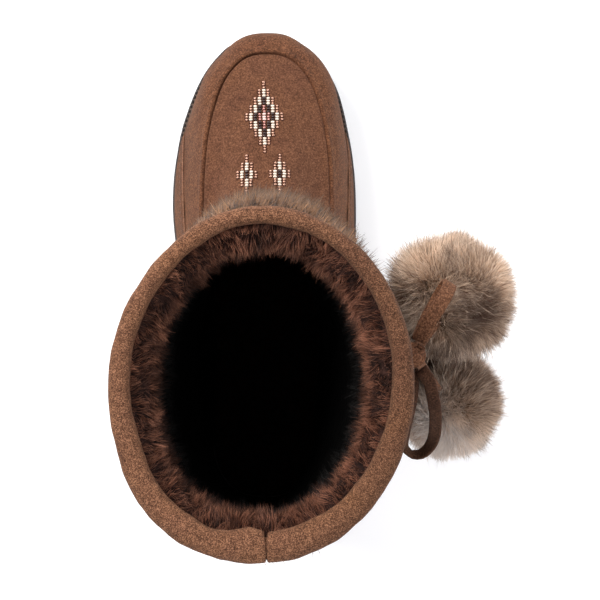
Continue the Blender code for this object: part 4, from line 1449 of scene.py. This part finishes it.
def pile_share(v):
    """More hairs near the collar, where they are seen."""
    return mix(0.25, 1.0, ease(v, v_at_height(0.225), v_at_height(0.245)))


# Beads: a diamond of rings round a middle bead, each cell three beads long
Diamond = namedtuple("Diamond", "x y reach tilt colours")
DIAMONDS = (
    Diamond(0.0008, 0.1780, 4, 1.3, ("blush", "rose", "brown", "cream", "copper")),
    Diamond(-0.0081, 0.1460, 2, 0.0, ("brown", "cream", "copper")),
    Diamond(0.0092, 0.1465, 2, 0.0, ("brown", "cream", "copper")),
)
BEAD_PITCH_X = 0.00233
BEAD_PITCH_Y = 0.00149
BEAD_LENGTH = 0.00192
BEAD_RADIUS = 0.00066
BEAD_COLOURS = (
    ("copper", (214, 166, 142)),
    ("cream", (240, 224, 206)),
    ("brown", (46, 22, 16)),
    ("rose", (222, 160, 150)),
    ("blush", (240, 208, 200)),
)
SMALL_BEADS = ("copper", "rose")
# Size of the dark patch under each bead: thread and painted shade between beads
THREAD_AND_SHADE_SIZE = (1.14, 1.10, 0.45)


def bead_shape():
    """Rounded barrel along X."""
    turns = np.linspace(0.0, TAU, 8, endpoint=False)
    profile = ((-0.5, 0.40), (-0.42, 0.76), (-0.18, 1.0), (0.18, 1.0), (0.42, 0.76), (0.5, 0.40))
    rings = [
        xyz(BEAD_LENGTH * place, BEAD_RADIUS * size * np.cos(turns), BEAD_RADIUS * size * np.sin(turns))
        for place, size in profile
    ]
    caps = np.stack([np.arange(8)[::-1], 40 + np.arange(8)])
    return np.concatenate(rings), grid_faces(6, 8), caps


def build_beads(mats, upper):
    tree = BVHTree.FromPolygons(
        [v.co.copy() for v in upper.data.vertices], [tuple(p.vertices) for p in upper.data.polygons]
    )
    shape, sides, caps = bead_shape()
    rng = np.random.default_rng(81)
    names = [name for name, colour in BEAD_COLOURS]
    groups = {name: [] for name in names}
    for diamond in DIAMONDS:
        tilt = math.radians(diamond.tilt)
        for column in range(-diamond.reach, diamond.reach + 1):
            for block in range(-diamond.reach, diamond.reach + 1):
                ring = abs(column) + abs(block)
                if ring > diamond.reach:
                    continue
                for row in range(-1, 2):
                    x = column * BEAD_PITCH_X + rng.normal(scale=0.00007)
                    y = (3 * block + row) * BEAD_PITCH_Y + rng.normal(scale=0.00006)
                    place = (
                        diamond.x + x * math.cos(tilt) - y * math.sin(tilt),
                        diamond.y + x * math.sin(tilt) + y * math.cos(tilt),
                    )
                    groups[diamond.colours[ring]].append((place, tilt + rng.normal(scale=0.05)))
    points, face_groups, thread_and_shade_sides, thread_and_shade_caps, at = [], [], [], [], 0
    for number, name in enumerate(names):
        side_list, cap_list = [], []
        for (x, y), turn in groups[name]:
            hit, normal, _, _ = tree.ray_cast(Vector((x, y, 0.2)), Vector((0.0, 0.0, -1.0)))
            normal = np.array(normal if normal.z > 0 else -normal)
            across = unit(np.array([math.cos(turn), math.sin(turn), 0.0]))
            across = unit(across - normal * np.dot(across, normal))
            third = np.cross(normal, across)
            size = np.array([0.70, 0.90, 0.95]) if name in SMALL_BEADS else np.ones(3)
            size = size * rng.uniform(0.95, 1.04)
            # each bead, then the dark patch under it: thread and painted shade
            for sizes, lift, side_faces, cap_faces in (
                (size, 0.72, side_list, cap_list),
                (np.array(THREAD_AND_SHADE_SIZE), 0.10, thread_and_shade_sides, thread_and_shade_caps),
            ):
                local = shape * sizes
                middle = np.array(hit) + normal * (BEAD_RADIUS * lift)
                points.append(middle + local[:, :1] * across + local[:, 1:2] * third + local[:, 2:] * normal)
                side_faces.append(sides + at)
                cap_faces.append(caps + at)
                at += len(shape)
        face_groups.append((np.concatenate(side_list), number))
        face_groups.append((np.concatenate(cap_list), number))
    face_groups.append((np.concatenate(thread_and_shade_sides), len(names)))
    face_groups.append((np.concatenate(thread_and_shade_caps), len(names)))
    finishes = [mats["bead_" + name] for name in (*names, "thread")]
    make("beadwork", np.concatenate(points), face_groups, finishes, "beads")


# Floor, light and camera


def build_floor(mats):
    size = 2.5
    corners = np.array([[-size, -size, 0], [size, -size, 0], [size, size, 0], [-size, size, 0]])
    floor = new_object("studio_floor", corners, [(np.array([[0, 1, 2, 3]]), 0)], [mats["floor"]])


def area_light(name, place, target, size, power, colour):
    lamp = bpy.data.lights.new(name, "AREA")
    lamp.shape = "DISK"
    lamp.size = size
    lamp.energy = power
    lamp.color = colour
    item = bpy.data.objects.new(name, lamp)
    item.location = place
    way = Vector(target) - Vector(place)
    item.rotation_euler = way.to_track_quat("-Z", "Y").to_euler()
    bpy.context.scene.collection.objects.link(item)


def build_light():
    area_light("key", (-0.74, 0.56, 1.16), (0.0, 0.08, 0.15), 0.7, 19.0, (1.0, 0.98, 0.95))
    area_light("fill", (1.05, -0.35, 0.95), (0.0, 0.08, 0.15), 0.9, 6.0, (0.97, 0.98, 1.0))
    area_light("front", (0.15, 1.25, 0.90), (0.0, 0.08, 0.10), 0.8, 8.0, (1.0, 1.0, 1.0))
    world = bpy.data.worlds.new("studio")
    world.use_nodes = True
    world.node_tree.nodes["Background"].inputs["Strength"].default_value = 1.0
    tree = world.node_tree
    sky = tree.nodes.new("ShaderNodeTexCoord").outputs["Generated"]
    height = tree.nodes.new("ShaderNodeSeparateXYZ")
    tree.links.new(sky, height.inputs[0])
    ramp = tree.nodes.new("ShaderNodeValToRGB")
    tree.links.new(height.outputs["Z"], ramp.inputs["Fac"])
    ramp.color_ramp.elements[0].position = 0.05
    ramp.color_ramp.elements[0].color = (0.98, 0.98, 1.0, 1.0)
    ramp.color_ramp.elements[1].position = 0.85
    ramp.color_ramp.elements[1].color = (0.60, 0.60, 0.62, 1.0)
    tree.links.new(ramp.outputs["Color"], tree.nodes["Background"].inputs["Color"])
    bpy.context.scene.world = world
    bpy.context.scene.view_settings.view_transform = "Standard"


# The photo looks straight down from in front of the collar's middle
CAMERA_PLACE = (0.020, 0.080, 0.893)
CAMERA_LENS = 92.7


def build_camera():
    camera = bpy.data.cameras.new("camera")
    camera.lens = CAMERA_LENS
    camera.sensor_width = 36.0
    item = bpy.data.objects.new("camera", camera)
    item.location = CAMERA_PLACE
    bpy.context.scene.collection.objects.link(item)
    bpy.context.scene.camera = item


def main():
    build_camera()
    mats = build_materials()
    build_bow(mats)
    build_sole(mats)
    upper = build_upper(mats)
    build_insole(mats)
    build_foxing(mats)
    build_welt_stitches(mats)
    build_cuff(mats)
    build_tie_lace(mats)
    build_fur_band(mats)
    build_pile(mats)
    build_beads(mats, upper)
    build_floor(mats)
    build_light()


main()
